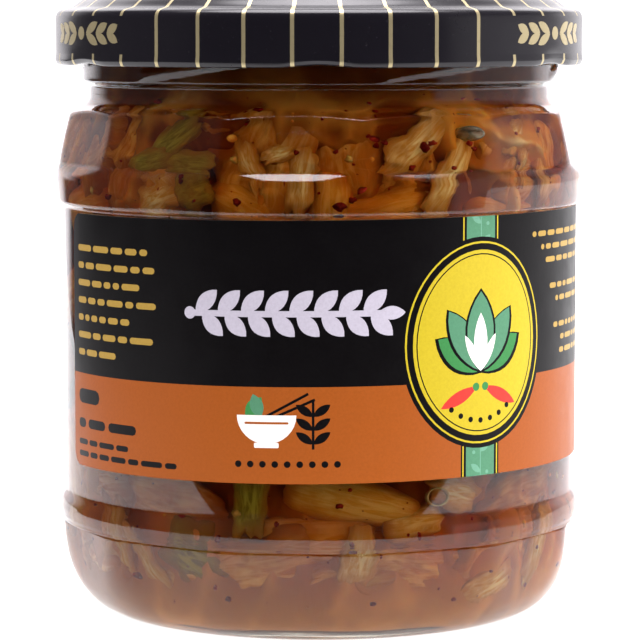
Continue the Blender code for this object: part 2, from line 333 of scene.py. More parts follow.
def printed_ink(name, colour):
    """Ink on coated paper under a satin varnish: fine print grain and paper fibres."""
    finish = Finish(name, IOR=1.45, Specular_IOR_Level=0.15)
    grain = finish.grain(2200.0, detail=3.0, roughness=0.7)
    paler = tuple(min(1.0, channel * 1.05 + 0.001) for channel in colour)
    darker = tuple(channel * 0.95 for channel in colour)
    finish.set("Base Color", finish.blend(finish.range(grain, 0.35, 0.65, 0.0, 1.0), darker, paler))
    finish.set("Roughness", finish.range(finish.grain(240.0), 0.3, 0.7, 0.32, 0.40))
    finish.bump(finish.grain(1500.0, detail=4.0, stretch=(1, 1, 0.3)), 0.2, 0.00003)
    return finish.material


def wet_cabbage(name, rib, blade, stain, thin, fade=0.26):
    """Wet translucent cabbage: pale veins over the blade, stained by chilli in patches, and darker towards its
    edges.
    """
    finish = Finish(name, Roughness=0.3, IOR=WET_IOR, Subsurface_Weight=thin, Subsurface_Scale=0.0006)
    finish.shader.inputs["Subsurface Radius"].default_value = (1.0, 0.7, 0.45)
    across = finish.place.outputs["UV"]
    streaks = finish.grain(7.0, detail=2.0, vector=across, stretch=(0.4, 1.2, 1.0), swirl=1.1)
    fibres = finish.grain(8.0, detail=3.0, vector=across, stretch=(0.6, 6.0, 1.0), swirl=0.5)
    inputs = {"Vector": across, "Scale": 7.0, "Randomness": 0.9}
    veins = finish.add("ShaderNodeTexVoronoi", inputs, feature="DISTANCE_TO_EDGE")
    vein = finish.range(veins.outputs["Distance"], 0.0, 0.07, 0.3, 0.0)
    streaks = finish.sum_up("ADD", streaks, finish.range(fibres, 0.3, 0.7, -0.04, 0.04))
    body = finish.blend(finish.range(streaks, 0.36, 0.68, 0.0, 1.0, "SMOOTHSTEP"), blade, rib)
    body = finish.blend(vein, body, rib)
    patches = finish.grain(110.0, detail=5.0, roughness=0.6)
    body = finish.blend(finish.range(patches, 0.45, 0.75, 0.0, 0.8), body, stain)
    place = finish.split(across)
    inwards = [finish.sum_up("PINGPONG", place[axis], 0.5) for axis in ("X", "Y")]
    edge = finish.sum_up("MINIMUM", *inwards)
    edge = finish.sum_up("ADD", edge, finish.sum_up("MULTIPLY", patches, 0.16))
    # The blade darkens to the stain tone towards its edges, where they sink into the mass
    faded = finish.range(edge, 0.08, fade, 0.9, 0.0, "SMOOTHSTEP")
    finish.set("Base Color", finish.blend(faded, body, stain))
    finish.bump(fibres, 0.3, 0.0004)
    return finish.material


def deep_mass(settings):
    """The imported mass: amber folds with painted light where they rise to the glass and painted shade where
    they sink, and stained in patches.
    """
    finish = Finish(
        "packed kimchi", Roughness=0.4, IOR=WET_IOR, Subsurface_Weight=0.3, Subsurface_Scale=0.0006
    )
    place = finish.split(finish.place.outputs["UV"])
    patches = finish.grain(60.0, detail=5.0, roughness=0.6)
    fibres = finish.grain(230.0, detail=4.0, stretch=(1, 1, 0.35))
    # Painted shade: the folds are coloured darker the deeper they sink and lighter where they rise
    raised = finish.sum_up("ADD", place["X"], finish.range(patches, 0.3, 0.7, -0.25, 0.25))
    share = finish.range(raised, 0.15, 0.75, 0.0, 1.0, "SMOOTHSTEP")
    body = finish.blend(share, settings.mass_shade_and_stain, settings.mass_light)
    # Painted light: the highest folds, against the glass, take a pale tone
    crest_painted_light = finish.sum_up("ADD", raised, finish.range(fibres, 0.3, 0.7, -0.18, 0.18))
    body = finish.blend(finish.range(crest_painted_light, 0.85, 1.15, 0.0, 0.75, "SMOOTHSTEP"), body, settings.crest_painted_light)
    stained = finish.range(place["Y"], 0.5, 0.8, 0.0, 0.7, "SMOOTHSTEP")
    body = finish.blend(stained, body, settings.mass_shade_and_stain)
    height = finish.split(finish.place.outputs["Object"])["Z"]
    # Painted light: the mass is coloured paler and more orange towards the bottom
    body = finish.blend(finish.range(height, 0.016, 0.032, 0.55, 0.0), body, (0.72, 0.31, 0.09))
    # Painted shadow of the lid: the mass is coloured dark near the top
    body = finish.blend(finish.range(height, 0.081, 0.087, 0.0, 0.8), body, (0.10, 0.03, 0.006))
    finish.set("Base Color", body)
    finish.bump(fibres, 0.5, 0.0006)
    return finish.material


def chilli_skin():
    """Dried red pepper flakes, soaked and glossy, from dark red to orange."""
    inside = {"Subsurface_Weight": 0.2, "Subsurface_Scale": 0.0004}
    finish = Finish("chilli flakes", Roughness=0.3, IOR=WET_IOR, **inside)
    drift = finish.range(finish.grain(420.0, detail=2.0), 0.35, 0.65, 0.0, 1.0)
    finish.set("Base Color", finish.blend(drift, (0.17, 0.006, 0.005), (0.36, 0.022, 0.008)))
    finish.bump(finish.grain(1800.0), 0.4, 0.0001)
    return finish.material


def plain_wet(name, dark, light, scale, roughness=0.25):
    """A small wet piece whose colour drifts between two tones."""
    finish = Finish(name, Roughness=roughness, IOR=WET_IOR, Subsurface_Weight=0.3, Subsurface_Scale=0.0005)
    drift = finish.range(finish.grain(scale), 0.35, 0.65, 0.0, 1.0)
    finish.set("Base Color", finish.blend(drift, dark, light))
    finish.bump(finish.grain(scale * 4.0), 0.25, 0.0002)
    return finish.material


# Glass


def inside_section():
    """Section of the glass inside, from the middle of the floor up to the mouth."""
    floor = curve_points((0.0, 4.6), (12.0, 4.6), (24.0, 2.4), (31.5, 2.4), 9)
    heel = curve_points((31.5, 2.4), (36.8, 2.4), (39.1, 6.6), (39.1, 16.0), 26)
    shoulder = curve_points((39.1, 70.0), (39.1, 76.0), (37.0, 79.5), (MOUTH_RADIUS, 83.2), 16)
    return [*floor, *heel[1:], *shoulder]


def moved_inwards(section, gap_at):
    """Move a section that runs up the inside towards the axis, by a gap that depends on the height."""
    moved = []
    for before, here, after in zip(section, section[1:], section[2:]):
        along = (Vector(after) - Vector(before)).normalized()
        moved.append(Vector(here) + Vector((-along.y, along.x)) * gap_at(here[1]))
    return moved


def outside_section():
    """Section of the glass outside as turned, before its flats, from under the bead down to the base."""
    neck_foot, neck_pull = (NECK_RADIUS, 83.6), (NECK_RADIUS + 0.5, 81.1)
    shoulder = curve_points(neck_foot, neck_pull, (41.0, 81.9), (41.5, SHOULDER_TOP), 18)
    heel = curve_points((42.1, HEEL_TOP - 0.6), (41.9, 4.75), (36.9, 0.1), (BASE_RING, 0.0), 44)
    low, high = UPPER_BAND
    neck = [
        (BEAD_RADIUS, 91.5),
        (NECK_RADIUS + 1.1, 86.1, 0.5),
        (NECK_RADIUS - 0.1, 85.3, 0.5),
        (NECK_RADIUS, 84.4),
    ]
    body = [
        (42.3, SHOULDER_TOP - 1.6, 1.0),
        (42.5, high + 1.5),
        (42.65, high, 0.5),
        (42.7, high - 1.4, 3.0),
        (42.45, low, 0.7),
        (PANEL_RADIUS, low - 0.6, 0.6),
        (PANEL_RADIUS, 20.0, 0.8),
        (42.3, 18.6, 1.6),
        (42.5, 17.2, 2.0),
        (42.35, 16.0, 0.5),
        (42.1, HEEL_TOP, 0.6),
    ]
    base = [(BASE_RING - 2.0, 0.0, 0.5), (27.0, 1.3, 1.5), (12.0, 1.8), (0.0, 1.8)]
    upper = [*rounded([*neck, shoulder[0]]), *shoulder[1:]]
    lower = [*rounded([shoulder[-1], *body, heel[0]])[1:], *heel]
    return [*upper, *lower, *rounded([heel[-1], *base])[1:]]


# Corner radius of the flats where they leave the turned glass whole
UNCUT = 48.0


def flat_heights():
    """Corner radius of the twelve flats against height, for the shoulder and for the heel."""
    heel = curve_points((40.6, 4.6), (41.4, 6.4), (42.25, 9.5), (42.45, HEEL_TOP - 0.6), 24)
    fade = [(35.0, 0.0), (36.35, 0.6), (37.9, 1.5), (39.55, 3.0), (40.2, 3.9)]
    ledge = [(UNCUT, HEEL_TOP), (UNCUT, 70.0), (44.1, 71.5), (42.76, 72.8)]
    shoulder = [(41.05, SHOULDER_TOP + 0.6), (40.5, 84.0), (UNCUT, 86.0), (UNCUT, 120.0)]
    return [*fade, *heel, *ledge, *shoulder]


def flat_columns():
    """Angles of the glass's columns: close at the twelve corners, wider over the flats."""
    half = [0.0, 0.35, 0.7, 1.1, 1.6, 2.2, 3.0, 4.0, 5.2, 6.8, 8.8, 11.6]
    one = sorted({-angle for angle in half} | set(half) | {FACET_STEP / 2})
    return sorted((FACET_TURN + FACET_STEP * corner + angle) % 360 for corner in range(12) for angle in one)


def moulded_radius(degrees, radius, corner, sharpness=170.0):
    """Radius of the turned glass where twelve flats with this corner radius cut it, softly."""
    half = FACET_STEP / 2
    apothem = corner * math.cos(math.radians(half))
    turn = (degrees - FACET_TURN) % FACET_STEP
    total = radius**-sharpness
    for middle in (-half, half, 3 * half):
        total += (math.cos(math.radians(turn - middle)) / apothem) ** sharpness
    return total ** (-1.0 / sharpness)


def wall_wave(degrees, height):
    """Unevenness of the glass inside, in millimetres."""
    turn = math.radians(degrees)
    return 0.1 * noise.noise(Vector((math.sin(turn) * 3.1, math.cos(turn) * 3.1, height * 0.09)))


# The screw thread on the neck: its six ramps, where the first starts, and the heights it keeps to
THREAD_STEP = 60.0
THREAD_START = 12.5
THREAD_LOW = 86.95
THREAD_RISE = 0.086
THREAD_OUT = 0.55
THREAD_HEIGHTS = (86.0, 92.0)


def thread_lift(degrees, height):
    """How far the screw thread stands out of the neck, in millimetres: ramps that rise under the lid."""
    turn = (degrees - THREAD_START) % THREAD_STEP
    away = (height - THREAD_LOW - THREAD_RISE * turn) / 0.8
    return THREAD_OUT * min(turn / 5.0, 1.0) * max(0.0, 1 - away * away) ** 0.6


BEHIND_LABEL = (21.0, 65.0)
UNDER_BASE = (2.0, 26.0)


def plain_part(radius, height):
    """Whether the glass outside is plain here, behind the label or under the base, and needs few rows."""
    return BEHIND_LABEL[0] < height < BEHIND_LABEL[1] or UNDER_BASE[0] < radius < UNDER_BASE[1]


class GlassSettings(bpy.types.PropertyGroup):
    """Looks of the glass."""

    ripple: FloatProperty(name="Ripple", description="Strength of the surface's waviness", default=0.12)
    tint: FloatVectorProperty(
        name="Tint", description="Colour of thick glass",
        subtype="COLOR", size=3, default=(0.88, 0.90, 0.86)
    )
    depth: FloatProperty(name="Tint depth", description="How fast thick glass takes its tint", default=190.0)


class KIMCHI_JAR_OT_glass(bpy.types.Operator):
    """Model the jar: bead, twelve-sided shoulder and heel, bands, panel, thick base and push-up"""

    bl_idname = "kimchi_jar.glass"
    bl_label = "Glass"

    def execute(self, context):
        """Make the glass in place of its plain solid."""
        corner_radii, corner_heights = zip(*sorted(flat_heights(), key=lambda pair: pair[1]))
        inside = spaced(inside_section(), 3.0)
        wall_end = inside[-1][1]
        level = context.scene.kimchi_food.level / MM
        bead_low, bead_high = BEAD_HEIGHTS
        mouth = [(MOUTH_RADIUS, level), (MOUTH_RADIUS, GLASS_TOP, 0.8)]
        rim = rounded([*mouth, (BEAD_RADIUS, GLASS_TOP, 0.7), (BEAD_RADIUS, bead_high)])
        bead = spaced([(BEAD_RADIUS, bead_high), (BEAD_RADIUS, bead_low)], 1.0)
        outside = enumerate([*bead, *spaced(outside_section(), 0.42)])
        outside = [point for index, point in outside if index % 6 == 0 or not plain_part(*point)]
        inner = {tuple(point) for point in inside}

        def reshape(degrees, radius, height):
            if (radius, height) in inner:
                return degrees, radius + wall_wave(degrees, height), height
            if THREAD_HEIGHTS[0] < height < THREAD_HEIGHTS[1] and radius > NECK_RADIUS + 0.5:
                return degrees, radius + thread_lift(degrees, height), height
            corner = float(numpy.interp(height, corner_heights, corner_radii))
            if corner > UNCUT - 0.1 or height > wall_end + 3.0 or radius < 30.0:
                return degrees, radius, height
            return degrees, moulded_radius(degrees, radius, corner), height

        section = [*inside, *rim[:-1], *outside]
        mesh = lathe("glass", section, flat_columns(), reshape, lambda row, column: int(row < len(inside)))
        looks = context.scene.kimchi_glass
        dry, wetted = clear_glass("clear glass", looks), clear_glass("wetted glass", looks, LIQUID_IOR)
        glass = new_object("glass", mesh, dry, wetted)
        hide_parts("glass_jar")
        return {"FINISHED"}


# Lid

# The stripes' places in degrees, how many of each length follow each other, and the heights that
# the short ones leave free
STRIPE_STEP = 10.0
STRIPE_START = -35.4
STRIPES_FULL = 8
STRIPES_SHORT = 4
STRIPE_FREE = (2.6, 8.2)
STRIPE_INNER = 37.4

# The dents that the lugs leave in the curl
LUG_HALF = 9.0
LUG_TALL = 2.6
LUG_IN = 0.38
LUG_UP = 0.42


class LidSettings(bpy.types.PropertyGroup):
    """Sizes and colours of the lid."""

    lacquer: FloatVectorProperty(
        name="Lacquer", description="Colour of the lid",
        subtype="COLOR", size=3, default=(0.0065, 0.0055, 0.0085)
    )
    gold: FloatVectorProperty(
        name="Gold", description="Colour of the stripes",
        subtype="COLOR", size=3, default=(0.46, 0.39, 0.22)
    )
    stripe: FloatProperty(
        name="Stripe width", description="Width of a gold stripe",
        default=0.62 * MM, unit="LENGTH", precision=5
    )
    lugs: IntProperty(name="Lugs", description="Gripping lugs round the curl", default=6)


def lid_section():
    """Section of the lid from the middle of its top, down its side, round the curl and back inside."""
    top = LID_BOX[1].z / MM
    low = LID_BOX[0].z / MM
    pressed = [
        (0.0, -0.95),
        (9.4, -1.0, 1.5),
        (11.2, -1.5, 0.8),
        (30.6, -1.5, 0.9),
        (32.6, -0.1, 0.9),
        (33.8, 0.0, 1.0),
        (37.9, 0.0, 0.8),
        (38.9, -0.7, 0.5),
        (40.1, -1.6, 1.6),
        (LID_RADIUS, -2.1, 1.7),
    ]
    curl = [
        (0.0, 1.9, 0.6),
        (0.12, 0.9, 0.6),
        (-0.2, 0.1, 0.5),
        (-0.9, 0.0, 0.5),
        (-1.5, 0.6, 0.5),
        (-1.3, 1.6, 0.4),
        (-0.45, 2.0, 0.3),
    ]
    inner = [
        (LID_RADIUS - 0.45, -2.6, 1.2),
        (40.0, -2.1, 1.2),
        (38.6, -0.5, 0.5),
        (33.6, -0.5, 0.6),
        (32.2, -2.0, 0.6),
        (0.0, -2.0),
    ]
    outline = [(radius, top + height, *corner) for radius, height, *corner in pressed]
    outline += [(LID_RADIUS + out, low + height, corner) for out, height, corner in curl]
    outline += [(radius, top + height, *corner) for radius, height, *corner in inner]
    return spaced(rounded(outline), 0.9)


def lid_columns(stripe_degrees):
    """Angles of the lid's columns, with one narrow column for each stripe, and which columns are stripes."""
    angles = []
    stripes = {}
    total = round(360 / STRIPE_STEP)
    for index in range(total):
        middle = STRIPE_START + STRIPE_STEP * index
        stripes[len(angles)] = index % (STRIPES_FULL + STRIPES_SHORT) < STRIPES_FULL
        angles.append(middle - stripe_degrees / 2)
        gap = STRIPE_STEP - stripe_degrees
        angles.extend(middle + stripe_degrees / 2 + gap * step / 8 for step in range(8))
    return angles, stripes


class KIMCHI_JAR_OT_lid(bpy.types.Operator):
    """Model the twist-off lid with its ring, button, curl, lugs and gold stripes"""

    bl_idname = "kimchi_jar.lid"
    bl_label = "Lid"

    def execute(self, context):
        """Make the lid in place of its plain solid."""
        settings = context.scene.kimchi_lid
        section = lid_section()
        low = LID_BOX[0].z / MM
        columns, stripes = lid_columns(math.degrees(settings.stripe / MM / LID_RADIUS))
        side_rows = [row for row, point in enumerate(section) if point[1] < low + 0.3 and point[0] > 41.6]
        lug_step = 360.0 / settings.lugs

        def reshape(degrees, radius, height):
            away = abs((degrees + lug_step / 2) % lug_step - lug_step / 2)
            press = max(0.0, 1 - (away / LUG_HALF) ** 2) ** 2 * max(0.0, 1 - (height - low) / LUG_TALL)
            return degrees, radius - LUG_IN * press, height + LUG_UP * press

        def slot_of(row, column):
            radius, height = section[row]
            if column not in stripes or row >= max(side_rows) or radius < STRIPE_INNER:
                return 0
            return int(stripes[column] or not STRIPE_FREE[0] <= height - low <= STRIPE_FREE[1])

        mesh = lathe("lid_top", section, columns, reshape, slot_of)
        lid = new_object("lid_top", mesh, black_lacquer(settings), gold_print(settings))
        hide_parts("lid")
        ornament = wrapped_print(
            "lid_ornament", lid_ornaments(low + 5.2), LID_RADIUS + 0.005, 0.03, 0.6, [gold_print(settings)]
        )
        return {"FINISHED"}


# Flat shapes for print, in millimetres along and up


def disc(x, y, across, tall=None, count=28):
    """An ellipse given by its full width and height."""
    tall = tall or across
    turns = [math.tau * index / count for index in range(count)]
    return [(x + across / 2 * math.cos(turn), y + tall / 2 * math.sin(turn)) for turn in turns]


def bar(left, right, y, tall, count=4):
    """A level bar with round ends."""
    radius = min(tall / 2, (right - left) / 2)
    points = []
    for x, start in ((right - radius, -90), (left + radius, 90)):
        for index in range(count + 1):
            turn = math.radians(start + 180 * index / count)
            points.append((x + radius * math.cos(turn), y + tall / 2 * math.sin(turn)))
    return points


def leaf_shape(x, y, long, wide, lean, count=9):
    """A pointed leaf that starts at x, y and leans by degrees from level."""
    turn = math.radians(lean)
    upper = [(index / count, math.sin(math.pi * index / count) ** 0.8) for index in range(count + 1)]
    outline = [*upper, *[(along, -out) for along, out in reversed(upper[1:-1])]]
    ahead, aside = math.cos(turn), math.sin(turn)
    points = []
    for along, out in outline:
        flat_x, flat_y = along * long, out * wide / 2
        points.append((x + flat_x * ahead - flat_y * aside, y + flat_x * aside + flat_y * ahead))
    return points


def block(left, right, low, high, corner=0.0, count=4):
    """An upright rectangle, with rounded corners if given."""
    if corner == 0.0:
        return [(left, low), (right, low), (right, high), (left, high)]
    points = []
    centres = ((right - corner, low + corner, -90), (right - corner, high - corner, 0))
    centres += ((left + corner, high - corner, 90), (left + corner, low + corner, 180))
    for x, y, start in centres:
        for index in range(count + 1):
            turn = math.radians(start + 90 * index / count)
            points.append((x + corner * math.cos(turn), y + corner * math.sin(turn)))
    return points


def stick(x, y, end_x, end_y, thick):
    """A straight stroke between two points."""
    along = Vector((end_x - x, end_y - y))
    side = Vector((-along.y, along.x)).normalized() * thick / 2
    corners = ((x, y, -1), (end_x, end_y, -1), (end_x, end_y, 1), (x, y, 1))
    return [(at_x + way * side.x, at_y + way * side.y) for at_x, at_y, way in corners]


def anticlockwise(outline):
    """Return an outline in anticlockwise order."""
    area = sum(a[0] * b[1] - b[0] * a[1] for a, b in zip(outline, [*outline[1:], outline[0]]))
    return outline if area > 0 else list(reversed(outline))


def wrapped_print(name, shapes, radius, thick, slice_length, materials, drift=None):
    """Wrap flat shapes round the jar as one thin closed sheet.

    Each shape is (material index, outline), and a later shape lies over an earlier one.
    The sheet is cut into upright slices, so that it follows the curve. The last material is its edge.
    """
    points = []
    faces = []
    for _, outline in shapes:
        faces.append(list(range(len(points), len(points) + len(outline))))
        points.extend(Vector(point) for point in anticlockwise(outline))
    left = min(point.x for point in points)
    right = max(point.x for point in points)
    low = min(point.y for point in points) - 0.01
    high = max(point.y for point in points) + 0.01
    edges = []
    for index in range(1, math.ceil((right - left) / slice_length)):
        x = left + slice_length * index
        edges.append((len(points), len(points) + 1))
        points.extend((Vector((x, low)), Vector((x, high))))
    cut = delaunay_2d_cdt(points, edges, faces, 1, 0.0002)
    flat, triangles, covers = cut[0], cut[2], cut[5]
    vertices = []
    for height_in in (0.0, thick):
        for point in flat:
            degrees = math.degrees(point.x / radius)
            lift = drift(degrees) if drift else 0.0
            vertices.append(round_jar(degrees, radius + height_in, point.y + lift))
    count = len(flat)
    sheet = []
    slots = []
    border = {}
    for triangle, cover in zip(triangles, covers):
        if not cover:
            continue
        a, b, c = triangle
        sheet.append((a + count, b + count, c + count))
        slots.append(shapes[max(cover)][0])
        sheet.append((c, b, a))
        slots.append(len(materials) - 1)
        for start, end in ((a, b), (b, c), (c, a)):
            if (end, start) in border:
                del border[(end, start)]
            else:
                border[(start, end)] = True
    for start, end in border:
        sheet.append((start, end, end + count, start + count))
        slots.append(len(materials) - 1)
    mesh = new_mesh(name, vertices, sheet, slots)
    mesh.set_sharp_from_angle(angle=math.radians(30))
    return new_object(name, mesh, *materials)


def lid_ornaments(middle):
    """Small gold sprigs in the three gaps between the groups of stripes."""
    shapes = []
    repeat = STRIPE_STEP * (STRIPES_FULL + STRIPES_SHORT)
    gap_middle = STRIPE_START + STRIPE_STEP * (STRIPES_FULL + STRIPES_SHORT / 2 - 0.5)
    for index in (-1, 0, 1):
        x = math.radians(gap_middle + repeat * index) * LID_RADIUS
        shapes.append((0, disc(x, middle, 2.1, 2.1, 14)))
        for side, lean in ((-1, 154), (1, 26)):
            for step, long in enumerate((3.9, 3.5, 3.0)):
                start = x + side * (1.7 + 3.0 * step)
                shapes.append((0, leaf_shape(start, middle, long, 1.5, lean, 6)))
                shapes.append((0, leaf_shape(start, middle - 0.1, long, 1.5, -lean, 6)))
    return shapes


# Label

BLACK, ORANGE, PALE, GOLD, GREEN, YELLOW, RED, CREAM, DARK_GREEN, PALE_GREEN, PAPER = range(11)
LABEL_RADIUS = 41.7


class LabelSettings(bpy.types.PropertyGroup):
    """Sizes and inks of the label."""

    start: FloatProperty(name="Start", description="Angle of the label's left end", default=-68.2)
    span: FloatProperty(name="Span", description="How far the label goes round", default=296.0)
    thick: FloatProperty(
        name="Thickness", description="Thickness of the paper", default=0.22 * MM, unit="LENGTH", precision=5
    )
    split: FloatProperty(
        name="Colour split", description="Height of the join of black and orange",
        default=40.5 * MM, unit="LENGTH"
    )
    black: FloatVectorProperty(
        name="Black", description="Ink of the upper field",
        subtype="COLOR", size=3, default=(0.0024, 0.0018, 0.0022)
    )
    orange: FloatVectorProperty(
        name="Orange", description="Ink of the lower field",
        subtype="COLOR", size=3, default=(0.28, 0.066, 0.0064)
    )
    pale: FloatVectorProperty(
        name="Pale", description="Ink of the large ornament",
        subtype="COLOR", size=3, default=(0.41, 0.385, 0.445)
    )
    yellow: FloatVectorProperty(
        name="Yellow", description="Ink of the badge",
        subtype="COLOR", size=3, default=(0.43, 0.335, 0.012)
    )
    green: FloatVectorProperty(
        name="Green", description="Ink of the ribbon",
        subtype="COLOR", size=3, default=(0.069, 0.205, 0.112)
    )


def along_label(degrees):
    """Distance along the label of an angle round the jar."""
    return math.radians(degrees) * LABEL_RADIUS


def word_bars(left, right, y, tall, colour, chance, from_right=False):
    """A line of small print, as a row of bars of uneven length."""
    shapes = []
    x = 0.0
    length = right - left
    while x < length - tall:
        word = min(chance.uniform(1.6, 5.2) * tall, length - x)
        ends = (right - x - word, right - x) if from_right else (left + x, left + x + word)
        shapes.append((colour, bar(*ends, y, tall)))
        x += word + 0.55 * tall
    return shapes


def small_print(chance):
    """Columns of small print at both sides of the front and round the back."""
    shapes = []
    left = along_label(-65.3)
    for index, end in enumerate((-39, -35, -41, -36.5, -43, -37.5, -49)):
        shapes += word_bars(left, along_label(end), 60.4 - 2.75 * index, 1.0, GOLD, chance)
    for index, start in enumerate((52.5, 56, 58, None, 60, 63, None, 62, 66, 64)):
        if start is not None:
            ends = along_label(start), along_label(103)
            shapes += word_bars(*ends, 62.3 - 2.1 * index, 0.85, GOLD, chance, True)
    for end, y, tall in ((-50.5, 36.9, 2.3), (-40, 32.6, 1.5), (-45, 29.6, 0.9), (-31, 27.7, 0.9)):
        shapes += word_bars(left, along_label(end), y, tall, BLACK, chance)
    for index in range(8):
        shapes += word_bars(along_label(112), along_label(148), 62.0 - 2.4 * index, 0.85, GOLD, chance)
    for index in range(4):
        shapes += word_bars(along_label(112), along_label(140), 36.5 - 2.4 * index, 0.9, BLACK, chance)
    return shapes


def contents_table():
    """A ruled table with short bars, as a pack's back has."""
    left, right = along_label(162), along_label(205)
    shapes = [(GOLD, block(left, right, 43.6, 63.0)), (BLACK, block(left + 0.25, right - 0.25, 43.85, 62.75))]
    for index in range(7):
        y = 61.3 - 2.7 * index
        shapes.append((GOLD, bar(left + 1.2, left + 9.0 + 3.0 * math.sin(index * 2.1), y, 0.8)))
        shapes.append((GOLD, bar(right - 6.0, right - 1.2, y, 0.8)))
        if index < 6:
            shapes.append((GOLD, block(left, right, y - 1.42, y - 1.28)))
    return shapes


def leaf_garland():
    """A pale stem with leaves above and below, where the front's largest print stands."""
    shapes = []
    left, right = along_label(-28.0), along_label(14.2)
    middle = 51.6
    shapes.append((PALE, bar(left, right, middle, 0.95)))
    for index in range(8):
        x = left + 1.0 + (right - left - 4.6) * index / 7
        shapes.append((PALE, leaf_shape(x, middle + 0.1, 5.0, 2.5, 44)))
        shapes.append((PALE, leaf_shape(x + 1.1, middle - 0.1, 4.8, 2.5, -44)))
    shapes.append((PALE, disc(left, middle, 1.9)))
    shapes.append((PALE, leaf_shape(right - 1.4, middle, 4.4, 2.1, 0)))
    return shapes


def bowl_ornament():
    """A white bowl with black sticks and a small leaf, over a row of dots."""
    x, rim = along_label(-11.0), 36.2
    half = [math.pi + math.pi * index / 16 for index in range(17)]
    bowl = [(x + 4.6 * math.cos(turn), rim + 4.4 * math.sin(turn)) for turn in half]
    shapes = [
        (BLACK, stick(x - 0.8, rim - 0.6, x + 6.4, 39.5, 0.42)),
        (BLACK, stick(x + 0.6, rim - 0.6, x + 7.4, 38.6, 0.42)),
        (DARK_GREEN, leaf_shape(x - 3.2, rim - 0.4, 4.0, 2.3, 52)),
        (GREEN, leaf_shape(x - 0.9, rim - 0.4, 3.8, 2.1, 108)),
        (CREAM, bowl),
        (CREAM, block(x - 1.9, x + 1.9, 31.2, 32.0, 0.2)),
        (ORANGE, bar(x - 3.4, x + 3.4, rim - 1.2, 0.35)),
    ]
    stem_x = along_label(-1.2)
    for index in range(3):
        for lean in (35, 145):
            shapes.append((BLACK, leaf_shape(stem_x, 31.8 + 2.1 * index, 3.2, 1.3, lean)))
    shapes.append((BLACK, stick(stem_x, 31.0, stem_x, 38.6, 0.4)))
    for index in range(9):
        shapes.append((BLACK, disc(x - 4.4 + 1.9 * index, 28.7, 1.05, count=12)))
    return shapes


def ribbon():
    """A green ribbon from top to bottom between black and yellow lines."""
    left, right = along_label(31.3), along_label(41.5)
    low, high = 24.0, 68.0
    shapes = [
        (BLACK, block(left, right, low, high)),
        (YELLOW, block(left + 0.28, left + 0.52, low, high)),
        (YELLOW, block(right - 0.52, right - 0.28, low, high)),
        (GREEN, block(left + 0.95, right - 0.95, low, high)),
    ]
    middle = (left + right) / 2
    for index in range(13):
        y = low + 2.2 + 3.2 * index
        side = 1 if index % 2 else -1
        shapes.append((PALE_GREEN, stick(middle, y - 1.6, middle, y + 1.6, 0.16)))
        shapes.append((PALE_GREEN, leaf_shape(middle, y, 2.3, 1.0, 90 - side * 52, 6)))
        shapes.append((PALE_GREEN, disc(middle - side * 1.3, y, 0.6, count=10)))
    return shapes


def badge():
    """A yellow oval badge with black and yellow rims, and a cabbage between two chillies on it."""
    x, y = along_label(36.4), 46.3
    rims = ((BLACK, 28.0), (YELLOW, 26.6), (BLACK, 26.0), (YELLOW, 24.0), (BLACK, 22.9), (YELLOW, 22.5))
    shapes = [(colour, disc(x, y, across, across + 4.6, 56)) for colour, across in rims]
    foot = y - 4.4
    leaves = ((146, 9.4, DARK_GREEN), (34, 9.4, DARK_GREEN), (122, 11.2, GREEN), (58, 11.2, GREEN))
    for lean, long, colour in leaves:
        shapes.append((BLACK, leaf_shape(x, foot - 0.3, long + 0.7, 5.0, lean)))
        shapes.append((colour, leaf_shape(x, foot, long, 4.3, lean)))
    shapes.append((BLACK, leaf_shape(x, foot - 0.4, 13.2, 6.0, 90)))
    shapes.append((GREEN, leaf_shape(x, foot, 12.3, 5.2, 90)))
    for long, wide, lean in ((9.0, 2.6, 90), (6.4, 1.5, 118), (6.4, 1.5, 62)):
        shapes.append((CREAM, leaf_shape(x, foot, long, wide, lean)))
    for side, lean in ((-1, 205), (1, -25)):
        shapes.append((RED, leaf_shape(x + side * 0.8, foot - 2.4, 7.2, 2.0, lean)))
        shapes.append((DARK_GREEN, disc(x + side * 0.9, foot - 2.4, 1.3, count=12)))
    for index in range(7):
        turn = math.radians(-90 + 11 * (index - 3))
        shapes.append((BLACK, disc(x + 10.0 * math.cos(turn), y + 12.0 * math.sin(turn), 0.9, count=10)))
    return shapes


class KIMCHI_JAR_OT_label(bpy.types.Operator):
    """Model the printed label with its fields of colour, ornaments, ribbon and badge"""

    bl_idname = "kimchi_jar.label"
    bl_label = "Label"

    def execute(self, context):
        """Make the label in place of its plain solid."""
        settings = context.scene.kimchi_label
        left, right = along_label(settings.start), along_label(settings.start + settings.span)
        low = LABEL_BOX[0].z / MM + 0.3
        high = LABEL_BOX[1].z / MM - 0.15
        whole = block(left, right, low, high, 2.6, 8)
        split = settings.split / MM
        field = [(right, split), *[point for point in whole if point[1] < split], (left, split)]
        shapes = [(BLACK, whole), (ORANGE, sorted_ring(field)), *small_print(random.Random(SEED))]
        shapes += [*contents_table(), *leaf_garland(), *bowl_ornament()]
        shapes += [(colour, clipped(outline, low, high)) for colour, outline in ribbon()]
        shapes += badge()
        inks = (
            ("black ink", settings.black),
            ("orange ink", settings.orange),
            ("pale ink", settings.pale),
            ("gold ink", (0.33, 0.21, 0.038)),
            ("green ink", settings.green),
            ("yellow ink", settings.yellow),
            ("red ink", (0.60, 0.03, 0.02)),
            ("cream ink", (0.72, 0.70, 0.65)),
            ("dark green ink", (0.035, 0.19, 0.05)),
            ("pale green ink", (0.12, 0.29, 0.19)),
            ("label paper", (0.68, 0.58, 0.46)),
        )
        materials = [printed_ink(name, colour) for name, colour in inks]

        def lean(degrees):
            return 0.35 * math.sin(math.radians(degrees))

        thick = settings.thick / MM
        label = wrapped_print("printed_label", shapes, LABEL_RADIUS, thick, 0.9, materials, lean)
        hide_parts("label")
        return {"FINISHED"}


